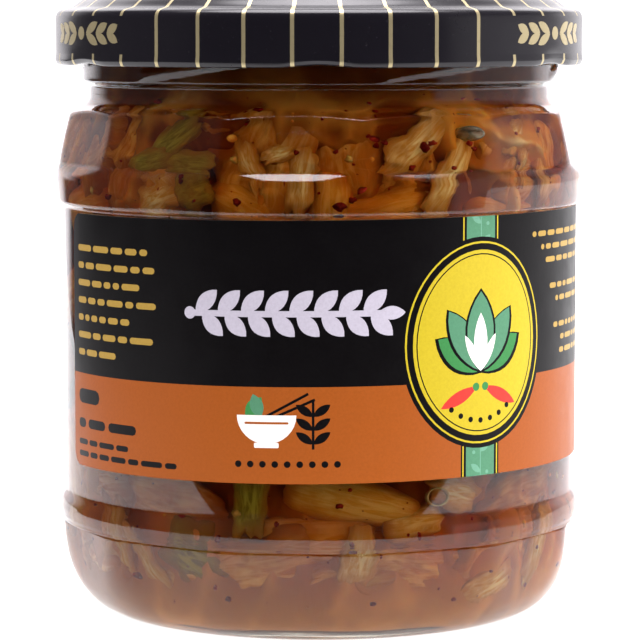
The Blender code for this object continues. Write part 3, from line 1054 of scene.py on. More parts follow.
def sorted_ring(points):
    """Order the corners of a convex outline round its middle."""
    middle = sum((Vector(point) for point in points), Vector((0.0, 0.0))) / len(points)
    return sorted(points, key=lambda point: math.atan2(point[1] - middle.y, point[0] - middle.x))


def clipped(outline, low, high):
    """Hold an outline between two heights."""
    return [(x, min(max(y, low), high)) for x, y in outline]


# Food and liquid

# Heights that the pieces of cabbage keep between
FOOD_LOW = 5.0
FOOD_HIGH = 86.0


class FoodSettings(bpy.types.PropertyGroup):
    """Amounts and colours of the food and its liquid."""

    liquid: FloatVectorProperty(
        name="Liquid", description="Colour that the liquid lets through",
        subtype="COLOR", size=3, default=(0.97, 0.75, 0.34)
    )
    depth: FloatProperty(name="Liquid depth", description="How fast the liquid darkens", default=430.0)
    level: FloatProperty(name="Level", description="Height of the liquid", default=91.0 * MM, unit="LENGTH")
    # Painted shade: the tone of the mass where its folds sink, also the tone of its stains
    mass_shade_and_stain: FloatVectorProperty(
        name="Mass, dark", description="Darker tone of the packed mass",
        subtype="COLOR", size=3, default=(0.28, 0.07, 0.010)
    )
    mass_light: FloatVectorProperty(
        name="Mass, light", description="Lighter tone of the packed mass",
        subtype="COLOR", size=3, default=(0.74, 0.30, 0.05)
    )
    # Painted light: the pale tone painted on the folds that touch the glass
    crest_painted_light: FloatVectorProperty(
        name="Crest", description="Tone of the folds that touch the glass",
        subtype="COLOR", size=3, default=(0.86, 0.58, 0.27)
    )
    leaves: IntProperty(name="Leaves", description="Cabbage leaves round the glass", default=34)
    ribs: IntProperty(name="Ribs", description="Cabbage ribs round the glass", default=26)
    flakes: IntProperty(name="Flakes", description="Chilli flakes against the glass", default=620)


def inside_radius(height):
    """Radius of the glass inside at a height, in millimetres."""
    section = [point for point in inside_section() if point[0] > 31.4]
    return float(numpy.interp(height, [point[1] for point in section], [point[0] for point in section]))


# The inside radius at each quarter of a millimetre
WALL = [inside_radius(height / 4) for height in range(400)]


def wall_at(height):
    """Radius of the glass inside, read from a list made once."""
    return WALL[min(max(int(height * 4), 0), len(WALL) - 1)]


class Heap:
    """A joined mesh of many small closed pieces."""

    def __init__(self):
        """Start with nothing."""
        self.vertices = []
        self.faces = []
        self.corners = []

    def sheet(self, outer, inner, columns, rows):
        """Add a closed sheet from two grids of points, with flat coordinates for its texture."""
        base = len(self.vertices)
        count = (columns + 1) * (rows + 1)
        self.vertices.extend(outer)
        self.vertices.extend(inner)

        def at(column, row, under=False):
            return base + (count if under else 0) + column * (rows + 1) + row

        def flat(index):
            place = (index - base) % count
            return place // (rows + 1) / columns, place % (rows + 1) / rows

        for column in range(columns):
            for row in range(rows):
                square = (at(column, row), at(column + 1, row), at(column + 1, row + 1), at(column, row + 1))
                self.face(square, flat)
                self.face([index + count for index in reversed(square)], flat)
        rim = [(column, 0) for column in range(columns)] + [(columns, row) for row in range(rows)]
        rim += [(column, rows) for column in range(columns, 0, -1)] + [(0, row) for row in range(rows, 0, -1)]
        for index, here in enumerate(rim):
            following = rim[(index + 1) % len(rim)]
            self.face((at(*following), at(*here), at(*here, True), at(*following, True)), flat)

    def face(self, corners, flat=lambda index: (0.5, 0.5)):
        """Add one face and its flat coordinates, those of the middle unless flat gives them."""
        self.faces.append(tuple(corners))
        self.corners.extend(flat(index) for index in corners)

    def build(self, name, material):
        """Make the joined piece."""
        mesh = new_mesh(name, self.vertices, self.faces)
        set_flat(mesh, "flat", self.corners)
        obj = new_object(name, mesh, material)
        return obj


def lay_piece(heap, spot, style, chance):
    """Lay one piece of cabbage against the glass.

    spot is its angle, height, length, width, tilt and depth behind the glass. style gives its thickness,
    its waves, the creases that rise to the glass, how far its edges sink and how ragged they are.
    """
    angle, height, along, across, tilt, depth = spot
    columns, rows = style["grid"]
    seed = Vector((chance.uniform(0, 90), chance.uniform(0, 90), chance.uniform(0, 90)))
    turn = math.radians(tilt)
    leaning = chance.uniform(0, math.tau)
    points = []
    for column in range(columns + 1):
        u = column / columns * 2 - 1
        for row in range(rows + 1):
            v = row / rows * 2 - 1
            ragged = 1 + style["rag"] * noise.noise(seed + Vector((u * 1.7, v * 1.7, 0)))
            ragged += style["rag"] * 0.25 * noise.noise(seed + Vector((u * 4, v * 4, 3)))
            flat_x = u * math.sqrt(1 - style["round"] * v * v) * along / 2 * ragged
            flat_y = v * math.sqrt(1 - style["round"] * u * u) * across / 2 * ragged
            place = seed + Vector((flat_x, flat_y, 0)) / style["wave"]
            wave = style["fold"] * (0.5 + noise.noise(place))
            crease = style["crease"] * abs(noise.noise(place * 1.9 + Vector((7, 1, 4)))) * 2.4
            fine = style["fine"] * abs(noise.noise(place * 5.3 + Vector((2, 9, 1))))
            outer_part = max(abs(u), abs(v)) ** 4 * style["sink"]
            lean = style["lean"] * (1 + u * math.cos(leaning) + v * math.sin(leaning)) / 2
            sink = depth + max(wave, 0.0) + crease + fine + style["bulge"] * v * v
            sink = sink + outer_part + max(lean, 0.0)
            reach = flat_x * math.cos(turn) - flat_y * math.sin(turn)
            level = flat_x * math.sin(turn) + flat_y * math.cos(turn)
            edge = min(1 - abs(u), 1 - abs(v))
            thick = style["thick"] * (0.25 + 0.75 * min(edge * 4, 1) ** 0.5)
            points.append((reach, level, sink, thick))
    lowest = min(point[1] for point in points) + height
    highest = max(point[1] for point in points) + height
    lift = max(FOOD_LOW - lowest, 0.0) + min(FOOD_HIGH - highest, 0.0)
    outer = []
    inner = []
    for reach, level, sink, thick in points:
        z = level + height + lift
        wall = wall_at(z)
        radius = min(wall - sink, wall - 0.18)
        degrees = angle + math.degrees(reach / wall)
        slope = (wall_at(z + 0.5) - wall_at(z - 0.5)) * 0.5
        outer.append(round_jar(degrees, radius, z))
        inner.append(round_jar(degrees, radius - thick, z + slope * thick))
    heap.sheet(outer, inner, columns, rows)


def piece_style(*numbers):
    """Name the numbers that shape a kind of piece."""
    names = ("grid", "thick", "fold", "crease", "fine", "bulge", "sink", "rag", "wave", "round", "lean")
    return dict(zip(names, numbers, strict=True))


LEAF = piece_style((38, 29), 0.6, 1.2, 0.9, 0.2, 0.2, 1.8, 0.35, 9.0, 0.44, 2.2)
BLADE = piece_style((48, 22), 0.4, 0.4, 0.4, 0.15, 0.1, 0.8, 0.4, 7.0, 0.44, 1.2)
RIB = piece_style((34, 16), 3.0, 0.6, 0.3, 0.1, 1.6, 1.6, 0.16, 12.0, 0.3, 1.0)
GREEN_LEAF = piece_style((26, 18), 0.5, 0.5, 0.4, 0.15, 0.1, 0.6, 0.35, 7.0, 0.40, 0.5)

# The pieces that show at the front: angle, height, length, width, tilt and depth behind the glass
FRONT_LEAVES = (
    (-14, 73.5, 19, 17, 70, 0.5), (3, 74.5, 18, 15, 100, 1.6), (27, 69.0, 13, 9, 68, 0.8),
    (51, 76.5, 15, 10, 35, 0.3), (54, 71.0, 12, 9, 5, 0.6), (68, 74.0, 15, 12, 80, 0.3),
    (-66, 75.0, 15, 13, 30, 0.6), (-52, 70.0, 16, 10, 95, 0.8), (-24, 79.0, 20, 9, 15, 2.4),
    (-52, 77.0, 12, 8, 70, 0.6), (16, 73.0, 25, 16, -20, 2.4), (42, 72.0, 24, 18, 25, 2.2),
    (4, 83.0, 26, 10, 6, 1.2), (38, 84.0, 22, 9, -6, 1.0), (-40, 83.5, 24, 9, 5, 1.0),
    (62, 12.0, 16, 10, 65, 0.4), (-56, 15.0, 15, 9, -65, 0.4), (-12, 8.5, 24, 11, 8, 0.5),
    (24, 9.0, 26, 11, -8, 0.4), (50, 9.5, 20, 12, 12, 0.5), (-68, 10.0, 20, 11, 4, 0.5),
    (-38, 21.0, 22, 11, -6, 1.0), (-36, 8.5, 18, 9, -6, 0.5), (6, 6.5, 16, 8, 4, 0.4),
    (58, 21.0, 22, 12, 10, 1.0), (-66, 22.0, 20, 10, 5, 1.2),
)
FRONT_BLADES = (
    (22, 75.9, 15, 6.0, 38, 0.25), (31.5, 72.0, 17, 5.0, 52, 0.3), (-39, 68.9, 9, 6.5, 25, 0.22),
    (-16.5, 74.0, 9, 3.4, -62, 0.25), (-9.5, 75.5, 6, 3.0, 20, 0.3), (-4.0, 71.5, 10, 5.0, 80, 0.3),
    (52, 77.4, 10, 3.6, 28, 0.25), (54, 72.8, 7, 3.0, 60, 0.3), (9, 13.5, 9, 6.0, 75, 0.3),
    (33, 23.4, 10, 6.0, -15, 0.35), (-44.0, 11.4, 13, 4.4, -48, 0.3), (-53, 13.5, 11, 4.0, -75, 0.3),
    (62, 11.5, 14, 5.0, 65, 0.3), (44, 8.5, 12, 5.0, 20, 0.5),
)
FRONT_RIBS = (
    (8, 22.0, 24, 8.5, -14, 0.3), (23, 18.6, 11, 6, 6, 0.5), (12, 66.0, 22, 9, 12, 1.8),
    (-14, 65.5, 18, 9, -25, 1.4), (50, 65.0, 18, 8, -10, 1.2), (-70, 66.0, 16, 9, 10, 0.8),
    (-2, 16.5, 24, 9, 4, 1.8), (2, 66.5, 12, 8, 80, 1.0),
)
FRONT_GREENS = (
    (-42.5, 73.6, 9, 4.2, 14, 0.2), (-31.0, 73.2, 9.5, 4.6, -4, 0.2), (-36, 77.4, 11, 5, 36, 0.5),
    (-29, 69.4, 7, 5, 20, 0.5), (-16.1, 21.4, 11, 6.4, 88, 0.3), (-31, 13.5, 12, 9, -20, 1.0),
)


LIQUID_COLUMNS = 144
INTO_WALL = 0.08


class KIMCHI_JAR_OT_liquid(bpy.types.Operator):
    """Fill the jar with amber liquid that reaches just into the glass"""

    bl_idname = "kimchi_jar.liquid"
    bl_label = "Liquid"

    def execute(self, context):
        """Make the liquid as one closed shape."""
        settings = context.scene.kimchi_food
        level = settings.level / MM
        wall = moved_inwards([*inside_section(), (MOUTH_RADIUS, level)], lambda height: -INTO_WALL)
        top = [(MOUTH_RADIUS + INTO_WALL, level), (MOUTH_RADIUS - 0.5, level - 0.4), (0.0, level - 0.4)]
        section = spaced(list(reversed([(0.0, wall[0].y), *wall, *top])), 2.5)

        def reshape(degrees, radius, height):
            wave = wall_wave(degrees, height) if radius > 34.5 or height < 20.0 else 0.0
            return degrees, radius + wave, height

        top_rows = sum(1 for radius, height in section if height > level - 0.5 and radius < 34.5)
        columns = even_columns(LIQUID_COLUMNS)
        mesh = lathe("liquid", section, columns, reshape, lambda row, column: int(row < top_rows))
        sides = amber_liquid("liquid against glass", settings, 1.0)
        surface = amber_liquid("liquid surface", settings, LIQUID_IOR)
        liquid = new_object("liquid", mesh, sides, surface)
        return {"FINISHED"}


MASS_COLUMNS = 360
MASS_TOP = 89.0
FOLD_DEPTH = 4.6
FOLD_HOLD = 1.6
# Inside this radius the mass is plain
PLAIN_CORE = 24.0
# How far the mass holds back from the glass, as (height, gap)
MASS_GAPS = ((2.4, 0.6), (7.0, 1.7), (13.0, 3.5), (18.0, 4.4), (70.0, 4.6), (82.0, 2.0))


def fold_relief(spot):
    """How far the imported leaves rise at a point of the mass, and how stained they are, both about 0 to 1."""
    spot = Vector((spot.x, spot.y, spot.z * 0.75))
    drift = noise.noise_vector(spot * 0.055) * 7.0
    wide = 1 - 2.4 * abs(noise.noise((spot + drift) * 0.085))
    drift = noise.noise_vector(spot * 0.16 + Vector((4, 2, 7))) * 2.2
    fine = 1 - 2.0 * abs(noise.noise((spot + drift) * 0.24 + Vector((8, 3, 1))))
    lump = noise.noise(spot * 0.07 + Vector((1, 6, 2)))
    raised = 0.55 * max(wide, 0.0) ** 1.6 + 0.24 * max(fine, 0.0) + 0.45 * lump + 0.06
    stain = 0.5 + 0.8 * noise.noise(spot * 0.12 + Vector((3, 3, 9)))
    return min(max(raised, 0.0), 1.1), stain


class KIMCHI_JAR_OT_mass(bpy.types.Operator):
    """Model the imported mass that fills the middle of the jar"""

    bl_idname = "kimchi_jar.mass"
    bl_label = "Packed mass"

    def execute(self, context):
        """Make the mass in place of the plain heap."""
        settings = context.scene.kimchi_food
        # The folds drift by noise_vector, which takes its offsets from this seed
        noise.seed_set(SEED)
        heights, depths = zip(*MASS_GAPS)
        wall = spaced([*inside_section(), (MOUTH_RADIUS, MASS_TOP + 0.8)], 0.8)
        inner = moved_inwards(wall, lambda height: float(numpy.interp(height, heights, depths)))
        rows = [(0.0, MASS_TOP), *[(point.x, point.y) for point in reversed(inner) if point.x > 8.0]]
        rows.append((0.0, rows[-1][1]))
        folds = [(0.0, 0.0)]

        def reshape(degrees, radius, height):
            if radius < PLAIN_CORE:
                folds.append((0.0, 0.0))
                return degrees, radius, height
            raised, stain = fold_relief(round_jar(degrees, radius, height) / MM)
            folds.append((raised, stain))
            room = max(0.0, height - 5.5) / 9.0 if height < 40 else (91.0 - height) / 12.0
            return degrees, radius + min(1.0, room) * (FOLD_DEPTH * raised - FOLD_HOLD), height

        mesh = lathe("packed_mass", rows, even_columns(MASS_COLUMNS), reshape)
        folds.append((0.0, 0.0))
        set_flat(mesh, "folds", [folds[corner.vertex_index] for corner in mesh.loops])
        mass = new_object("packed_mass", mesh, deep_mass(settings))
        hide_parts("kimchi_heap")
        return {"FINISHED"}


# The pieces round the sides and back: heights that they take in turn, the angle from each to the next,
# where their range of angles starts and how wide it is, and how much coarser their grids are
LEVELS = (11.0, 73.0, 21.0, 79.0, 34.0, 68.0, 48.0)
NEXT_TURN = 61.8
BACK_START = 85
BACK_SPAN = 200
COARSER = 0.6


def lay_kind(name, style, spots, others, chance, material):
    """Lay the pieces of one kind that show at the front, then the others, as one joined piece.

    others gives how many follow round the sides and back, the ranges of their length, width and depth,
    and the angle that they start from.
    """
    heap = Heap()
    for spot in spots:
        lay_piece(heap, spot, style, chance)
    count, lengths, widths, depths, start = others
    coarse = {**style, "grid": [round(side * COARSER) for side in style["grid"]]}
    for index in range(count):
        angle = BACK_START + (start + index * NEXT_TURN + chance.uniform(-9, 9)) % BACK_SPAN
        height = LEVELS[index % len(LEVELS)] + chance.uniform(-3, 3)
        along, across = chance.uniform(*lengths), chance.uniform(*widths)
        spot = (angle, height, along, across, chance.uniform(-80, 80), chance.uniform(*depths))
        lay_piece(heap, spot, coarse, chance)
    heap.build(name, material)


class KIMCHI_JAR_OT_leaves(bpy.types.Operator):
    """Lay crumpled and torn cabbage leaves against the glass"""

    bl_idname = "kimchi_jar.leaves"
    bl_label = "Leaves"

    def execute(self, context):
        """Make the leaves as one joined piece, and narrow leaf edges as another."""
        chance = random.Random(SEED + 1)
        others = (context.scene.kimchi_food.leaves, (18, 28), (12, 18), (0.3, 1.2), 0.0)
        tones = (0.90, 0.57, 0.235), (0.68, 0.285, 0.05), (0.47, 0.145, 0.02)
        finish = wet_cabbage("cabbage leaf", *tones, 0.5, 0.36)
        lay_kind("cabbage_leaves", LEAF, FRONT_LEAVES, others, chance, finish)
        others = (20, (8, 16), (3.5, 6), (0.25, 0.4), 30.0)
        tones = (0.94, 0.76, 0.46), (0.70, 0.36, 0.09), (0.58, 0.23, 0.04)
        finish = wet_cabbage("leaf edge", *tones, 0.5, 0.5)
        lay_kind("leaf_edges", BLADE, FRONT_BLADES, others, chance, finish)
        return {"FINISHED"}


class KIMCHI_JAR_OT_ribs(bpy.types.Operator):
    """Lay thick cabbage ribs against the glass"""

    bl_idname = "kimchi_jar.ribs"
    bl_label = "Ribs"

    def execute(self, context):
        """Make the ribs as one joined piece."""
        others = (context.scene.kimchi_food.ribs, (16, 26), (7, 11), (0.3, 1.0), 15.0)
        tones = (0.90, 0.56, 0.20), (0.76, 0.36, 0.06), (0.52, 0.17, 0.022)
        finish = wet_cabbage("cabbage rib", *tones, 0.7)
        lay_kind("cabbage_ribs", RIB, FRONT_RIBS, others, random.Random(SEED + 2), finish)
        return {"FINISHED"}


class KIMCHI_JAR_OT_greens(bpy.types.Operator):
    """Lay green leaf ends against the glass"""

    bl_idname = "kimchi_jar.greens"
    bl_label = "Greens"

    def execute(self, context):
        """Make the green pieces as one joined piece."""
        others = (9, (9, 14), (5, 8), (0.25, 0.8), 45.0)
        tones = (0.48, 0.39, 0.05), (0.25, 0.18, 0.016), (0.38, 0.16, 0.02)
        finish = wet_cabbage("green leaf", *tones, 0.3, 0.4)
        lay_kind("green_leaves", GREEN_LEAF, FRONT_GREENS, others, random.Random(SEED + 3), finish)
        return {"FINISHED"}


def lay_crumb(heap, angle, height, across, thick, depth, chance, sides=7):
    """Lay one small flat crumb against the glass."""
    wall = wall_at(height)
    centre = round_jar(angle, wall - depth, height)
    outward = round_jar(angle, 1.0, 0.0).normalized()
    lean = Vector((chance.uniform(-1, 1), chance.uniform(-1, 1), chance.uniform(-1, 1))) * 0.6
    normal = (outward + lean).normalized()
    side = normal.cross(Vector((0, 0, 1))).normalized()
    up = side.cross(normal)
    base = len(heap.vertices)
    long = chance.uniform(1.0, 1.4)
    heap.vertices.append(centre + normal * thick / 2 * MM)
    for index in range(sides):
        turn = math.tau * index / sides
        radius = across / 2 * chance.uniform(0.65, 1.15) * MM
        heap.vertices.append(centre + (side * math.cos(turn) * radius * long + up * math.sin(turn) * radius))
    heap.vertices.append(centre - normal * thick / 2 * MM)
    for index in range(sides):
        here = base + 1 + index
        following = base + 1 + (index + 1) % sides
        heap.face((base, here, following))
        heap.face((base + sides + 1, following, here))


# Flakes that show at the front: angle, height and size
FRONT_FLAKES = (
    (-5, 75.7, 1.3), (4, 75.8, 1.2), (4.6, 67.9, 2.4), (-18.2, 68.4, 2.0),
    (10.9, 78.0, 1.0), (-14.7, 81.4, 2.2), (12.2, 77.6, 2.2), (14.5, 77.0, 1.3),
    (24.7, 76.3, 2.4), (26.6, 76.9, 1.7), (20.8, 73.2, 1.7), (36.8, 76.7, 1.5),
    (37.8, 75.9, 1.2), (31.7, 73.0, 1.1), (25.5, 74.1, 0.8), (52.2, 77.9, 0.9),
    (50.9, 73.3, 1.0), (12.4, 82.9, 1.3), (9.3, 70.2, 2.2), (7.2, 68.8, 1.6),
    (-32.1, 19.2, 1.6), (-9.4, 18.7, 1.4), (-46.4, 9.4, 2.0), (-23.8, 9.0, 1.2),
    (-21.1, 7.4, 1.3), (-22.8, 16.5, 1.5), (4.5, 22.0, 1.3), (6.9, 24.4, 1.1),
    (12.3, 6.9, 1.2), (20.0, 17.1, 0.9), (60.2, 12.5, 1.0),
)


class KIMCHI_JAR_OT_flakes(bpy.types.Operator):
    """Scatter chilli flakes and seeds through the liquid against the glass"""

    bl_idname = "kimchi_jar.flakes"
    bl_label = "Chilli flakes"

    def execute(self, context):
        """Make the flakes as one joined piece and the seeds as another."""
        chance = random.Random(SEED + 4)
        flakes = Heap()
        for angle, height, across in FRONT_FLAKES:
            lay_crumb(flakes, angle, height, across * 0.72, 0.3, 0.32, chance, 11)
        for _ in range(context.scene.kimchi_food.flakes):
            across = 0.25 + 1.3 * chance.random() ** 4
            height = chance.choice((chance.uniform(6, 26), chance.uniform(62, 86), chance.uniform(6, 86)))
            depth = 0.3 + 3.0 * chance.random() ** 1.6
            lay_crumb(flakes, chance.uniform(0, 360), height, across, 0.16, depth, chance)
        flakes.build("chilli_flakes", chilli_skin())
        seeds = Heap()
        for _ in range(30):
            height = chance.choice((chance.uniform(6, 26), chance.uniform(62, 84)))
            angle, depth = chance.uniform(0, 360), chance.uniform(0.5, 2.5)
            lay_crumb(seeds, angle, height, 1.5, 0.6, depth, chance, sides=10)
        seeds.build("chilli_seeds", plain_wet("chilli seeds", (0.60, 0.30, 0.06), (0.78, 0.47, 0.14), 500.0))
        return {"FINISHED"}


def lay_ring(heap, angle, height, radius, wall_thick, length, depth, tilt, chance, sides=28):
    """Lay one ring of spring onion with its hole towards the glass."""
    wall = wall_at(height)
    centre = round_jar(angle, wall - depth, height)
    outward = round_jar(angle, 1.0, 0.0).normalized()
    up = Vector((0, 0, 1))
    side = outward.cross(up).normalized()
    turn = Matrix.Rotation(math.radians(tilt), 3, side)
    outward, up = turn @ outward, turn @ up
    squash = chance.uniform(0.6, 0.9)
    base = len(heap.vertices)
    corners = ((radius, 0.0), (radius, -length), (radius - wall_thick, -length), (radius - wall_thick, 0.0))
    for index in range(sides):
        angle_round = math.tau * index / sides
        for out, back in corners:
            spread = side * math.cos(angle_round) * out + up * math.sin(angle_round) * out * squash
            heap.vertices.append(centre + (spread + outward * back) * MM)
    for index in range(sides):
        here = base + 4 * index
        following = base + 4 * ((index + 1) % sides)
        for corner in range(4):
            other = (corner + 1) % 4
            heap.face((here + corner, here + other, following + other, following + corner))


class KIMCHI_JAR_OT_onion(bpy.types.Operator):
    """Lay rings of spring onion against the glass"""

    bl_idname = "kimchi_jar.onion"
    bl_label = "Spring onion"

    def execute(self, context):
        """Make the rings as one joined piece."""
        chance = random.Random(SEED + 5)
        heap = Heap()
        lay_ring(heap, 27.5, 22.8, 1.9, 0.22, 1.2, 0.3, 8, chance)
        for index in range(14):
            height = chance.choice((chance.uniform(8, 24), chance.uniform(66, 82)))
            radius = chance.uniform(1.6, 2.8)
            spot = (95 + index * 13.5, height, radius, 0.35, 2.0, 0.6, chance.uniform(-30, 30))
            lay_ring(heap, *spot, chance)
        heap.build("spring_onion", plain_wet("spring onion", (0.52, 0.33, 0.12), (0.80, 0.57, 0.27), 300.0))
        return {"FINISHED"}


def ball(heap, centre, size, columns=24, rows=14):
    """Add an ellipsoid with its three half sizes along the world's axes."""
    base = len(heap.vertices)
    for row in range(rows + 1):
        tip = math.pi * row / rows
        for column in range(columns):
            turn = math.tau * column / columns
            around = (math.sin(tip) * math.cos(turn), math.sin(tip) * math.sin(turn), math.cos(tip))
            heap.vertices.append(centre + Vector([part * half for part, half in zip(around, size)]) * MM)
    for row in range(rows):
        above, below = base + row * columns, base + (row + 1) * columns
        for column in range(columns):
            following = (column + 1) % columns
            if row == 0:
                heap.face((base, below + column, below + following))
            elif row == rows - 1:
                heap.face((above + column, below, above + following))
            else:
                heap.face((above + column, below + column, below + following, above + following))


class KIMCHI_JAR_OT_drops(bpy.types.Operator):
    """Put an air bubble and drops of chilli oil against the glass"""

    bl_idname = "kimchi_jar.drops"
    bl_label = "Bubble and drops"

    def execute(self, context):
        """Make the drops as one joined piece and the bubble as another."""
        chance = random.Random(SEED + 6)
        drops = Heap()
        ball(drops, round_jar(-20.5, wall_at(77.6) - 0.6, 77.6), (0.75, 0.5, 0.6))
        for _ in range(16):
            height = chance.choice((chance.uniform(10, 24), chance.uniform(68, 84)))
            size = chance.uniform(0.2, 0.45)
            spot = round_jar(chance.uniform(0, 360), wall_at(height) - 0.6, height)
            ball(drops, spot, (size, size, size), 14, 8)
        drops.build("oil_drops", plain_wet("chilli oil", (0.80, 0.22, 0.02), (0.90, 0.36, 0.05), 900.0, 0.1))
        bubble = Heap()
        ball(bubble, round_jar(38.0, wall_at(78.1) - 1.2, 78.1), (2.5, 1.1, 1.25), 40, 24)
        finish = Finish("air bubble", Transmission_Weight=0.7, IOR=1.33, Roughness=0.05)
        # Painted reflection: a grey base colour with a level streak stands in for what the bubble reflects
        tone = finish.range(finish.grain(300.0, stretch=(0.4, 0.4, 3.0)), 0.4, 0.6, 0.0, 1.0)
        finish.set("Base Color", finish.blend(tone, (0.16, 0.15, 0.10), (0.60, 0.57, 0.44)))
        finish.bump(finish.grain(300.0, detail=1.0), 0.1, 0.0002)
        made = bubble.build("air_bubble", finish.material)
        made.data.flip_normals()
        return {"FINISHED"}


# Studio


# The floor's left, right, near and far edges and the camera's shift to the right, in metres
FLOOR_REACH = (-0.30, 1.0, -0.13, 1.5)
CAMERA_ASIDE = 0.00016


class StudioSettings(bpy.types.PropertyGroup):
    """Camera, floor and light."""

    distance: FloatProperty(
        name="Distance", description="From the camera to the jar's axis", default=0.526, unit="LENGTH"
    )
    pitch: FloatProperty(
        name="Pitch", description="How far the camera looks down", default=math.radians(5.35), subtype="ANGLE"
    )
    aim: FloatProperty(
        name="Aim", description="Height that the camera aims at", default=46.8 * MM, unit="LENGTH"
    )
    lens: FloatProperty(name="Lens", description="Focal length in millimetres", default=180.3)
    surround: FloatProperty(name="Surround", description="Brightness of the white surround", default=1.7)
    ceiling: FloatProperty(name="Ceiling", description="Brightness of the light overhead", default=11.0)
    fill: FloatProperty(name="Fill", description="Soft light that no gloss shows", default=0.88)
    fill_right: FloatProperty(name="Fill, right", description="More of it from the right", default=3.8)
    floor: FloatProperty(name="Floor", description="Glow added to the white table", default=1.0)
    room: FloatProperty(name="Room", description="Brightness of the room in front", default=0.01)
    side: FloatProperty(name="Side", description="Brightness of the room's dim left side", default=0.11)
    back: FloatProperty(name="Back light", description="Brightness of the light high behind", default=2.5)
    right: FloatProperty(name="Right", description="Brightness of the wall at the right", default=0.65)


# Angles round the jar where the studio's walls and its soft fill start or end
RIGHT_START = 59
WHITE_START = 125
LEFT_END_HIGH = -150
LEFT_END_LOW = -137
DIM_END = -55
FILL_START = 50
QUARTER = 90
# Where the light above and behind the jar is
BACK_LIGHT = (0.0, 0.86, 0.51)
# Brightness and tone of the plain surround that the camera sees
SEEN_WHITE = 1.5
SURROUND_TONE = (1.0, 0.96, 1.0, 1.0)


def white_surround(settings):
    """A white studio behind and to the right of the jar, dark in front, and plain white to the camera."""
    world = bpy.data.worlds.new("studio")
    bpy.context.scene.world = world
    world.use_nodes = True
    graph = Graph(world.node_tree)
    place = graph.add("ShaderNodeTexCoord").outputs["Generated"]
    dark = settings.room

    def beyond(degrees, softness, white=settings.surround, edge=0.0):
        facing = (math.sin(math.radians(degrees)), -math.cos(math.radians(degrees)), 0.0)
        along = graph.along(place, facing)
        return graph.range(along, edge - softness, edge + softness, dark, white, "SMOOTHSTEP")

    right = beyond(RIGHT_START + QUARTER, 0.05)
    right = graph.sum_up("MINIMUM", right, beyond(WHITE_START + QUARTER, 0.25))
    right = graph.sum_up("MAXIMUM", right, beyond(RIGHT_START + QUARTER, 0.05, settings.right))
    height = graph.split(place)["Z"]
    raised = graph.range(height, -0.05, 0.0, 0.0, 1.0, "SMOOTHSTEP")
    high_left = beyond(LEFT_END_HIGH - QUARTER, 0.1)
    left = graph.mix(raised, high_left, beyond(LEFT_END_LOW - QUARTER, 0.17))
    top = graph.range(height, 0.86, 0.93, dark, settings.ceiling, "SMOOTHSTEP")
    walls = graph.sum_up("MINIMUM", right, left)
    walls = graph.sum_up("MULTIPLY", walls, graph.range(height, 0.2, 0.45, 1.0, 0.3, "SMOOTHSTEP"))
    behind = graph.range(graph.along(place, BACK_LIGHT), 0.86, 0.94, 0.0, settings.back, "SMOOTHSTEP")
    walls = graph.sum_up("MAXIMUM", walls, behind)
    dim = beyond(DIM_END - QUARTER, 0.2, settings.side)
    shone = graph.sum_up("MAXIMUM", graph.sum_up("MAXIMUM", walls, dim), top)
    path = graph.add("ShaderNodeLightPath").outputs
    scattered = graph.sum_up("MINIMUM", path["Diffuse Depth"], 1.0)
    fill = beyond(FILL_START + QUARTER, 0.5, settings.fill_right, 0.1)
    fill = graph.sum_up("ADD", fill, settings.fill)
    filled = graph.sum_up("ADD", shone, graph.sum_up("MULTIPLY", scattered, fill))
    strength = graph.mix(path["Is Camera Ray"], filled, SEEN_WHITE)
    background = graph.tree.nodes["Background"]
    graph.tree.links.new(strength, background.inputs["Strength"])
    background.inputs["Color"].default_value = SURROUND_TONE


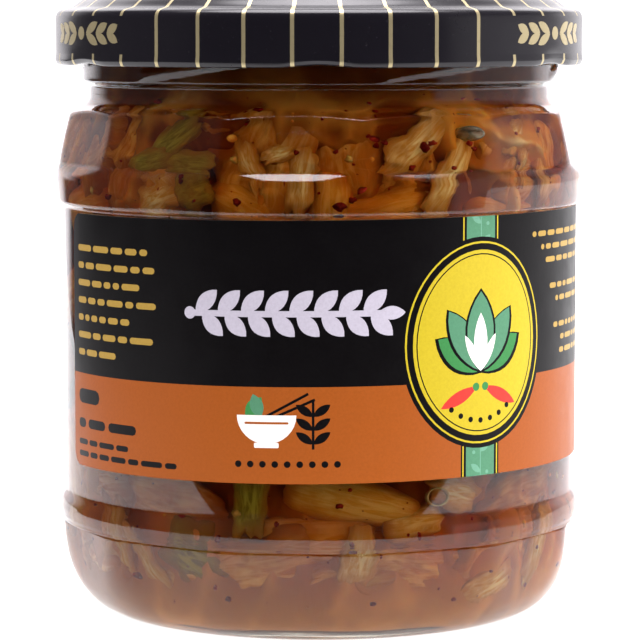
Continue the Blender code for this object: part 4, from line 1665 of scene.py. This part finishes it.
class KIMCHI_JAR_OT_studio(bpy.types.Operator):
    """Set up the pale floor, the soft lights, the surround and the camera"""

    bl_idname = "kimchi_jar.studio"
    bl_label = "Studio"

    def execute(self, context):
        """Make the studio."""
        settings = context.scene.kimchi_studio
        white_surround(settings)
        mesh = bpy.data.meshes.new("floor")
        mesh.from_pydata([(x, y, 0) for x, y in block(*FLOOR_REACH)], [], [(0, 1, 2, 3)])
        floor = bpy.data.objects.new("floor", mesh)
        context.scene.collection.objects.link(floor)
        finish = Finish("pale floor", Roughness=0.6, Emission_Strength=settings.floor)
        finish.shader.inputs["Emission Color"].default_value = (1, 1, 1, 1)
        tone = finish.range(finish.grain(30.0), 0.3, 0.7, 0.0, 1.0)
        finish.set("Base Color", finish.blend(tone, (0.25, 0.25, 0.253), (0.27, 0.27, 0.27)))
        floor.data.materials.append(finish.material)
        camera = bpy.data.cameras.new("camera")
        camera.lens = settings.lens
        camera.sensor_width = 36.0
        camera.clip_start = 0.01
        obj = bpy.data.objects.new("camera", camera)
        context.scene.collection.objects.link(obj)
        back = Vector((0, -math.cos(settings.pitch), math.sin(settings.pitch))) * settings.distance
        obj.location = Vector((CAMERA_ASIDE, 0, settings.aim)) + back
        obj.rotation_euler = (math.pi / 2 - settings.pitch, 0, 0)
        context.scene.camera = obj
        context.scene.view_settings.view_transform = "Standard"
        context.scene.cycles.max_bounces = 24
        context.scene.cycles.transmission_bounces = 20
        context.scene.cycles.glossy_bounces = 16
        context.scene.cycles.transparent_max_bounces = 12
        return {"FINISHED"}


class KIMCHI_JAR_PT_sidebar(bpy.types.Panel):
    """List the jar's pieces"""

    bl_label = "Kimchi Jar"
    bl_idname = "KIMCHI_JAR_PT_sidebar"
    bl_space_type = "VIEW_3D"
    bl_region_type = "UI"
    bl_category = "Kimchi Jar"

    def draw(self, context):
        """Draw the settings and a button for each piece."""
        for group in SETTINGS:
            box = self.layout.box()
            settings = getattr(context.scene, group)
            for name in settings.__annotations__:
                box.prop(settings, name)
        for operator in OPERATORS:
            self.layout.operator(operator.bl_idname)


SETTINGS = {
    "kimchi_glass": GlassSettings,
    "kimchi_lid": LidSettings,
    "kimchi_label": LabelSettings,
    "kimchi_food": FoodSettings,
    "kimchi_studio": StudioSettings,
}
OPERATORS = (
    KIMCHI_JAR_OT_glass,
    KIMCHI_JAR_OT_liquid,
    KIMCHI_JAR_OT_mass,
    KIMCHI_JAR_OT_leaves,
    KIMCHI_JAR_OT_ribs,
    KIMCHI_JAR_OT_greens,
    KIMCHI_JAR_OT_flakes,
    KIMCHI_JAR_OT_onion,
    KIMCHI_JAR_OT_drops,
    KIMCHI_JAR_OT_label,
    KIMCHI_JAR_OT_lid,
    KIMCHI_JAR_OT_studio,
)


def register():
    """Register the settings, the operators and the panel."""
    for name, group in SETTINGS.items():
        bpy.utils.register_class(group)
        setattr(bpy.types.Scene, name, PointerProperty(type=group))
    for operator in (*OPERATORS, KIMCHI_JAR_PT_sidebar):
        bpy.utils.register_class(operator)


def unregister():
    """Take them all out again."""
    for operator in reversed((*OPERATORS, KIMCHI_JAR_PT_sidebar)):
        bpy.utils.unregister_class(operator)
    for name, group in reversed(SETTINGS.items()):
        delattr(bpy.types.Scene, name)
        bpy.utils.unregister_class(group)


def main():
    """Register the add-on and make every piece."""
    register()
    for operator in OPERATORS:
        step = operator.bl_idname.split(".")[1]
        getattr(bpy.ops.kimchi_jar, step)()


if __name__ == "__main__":
    main()
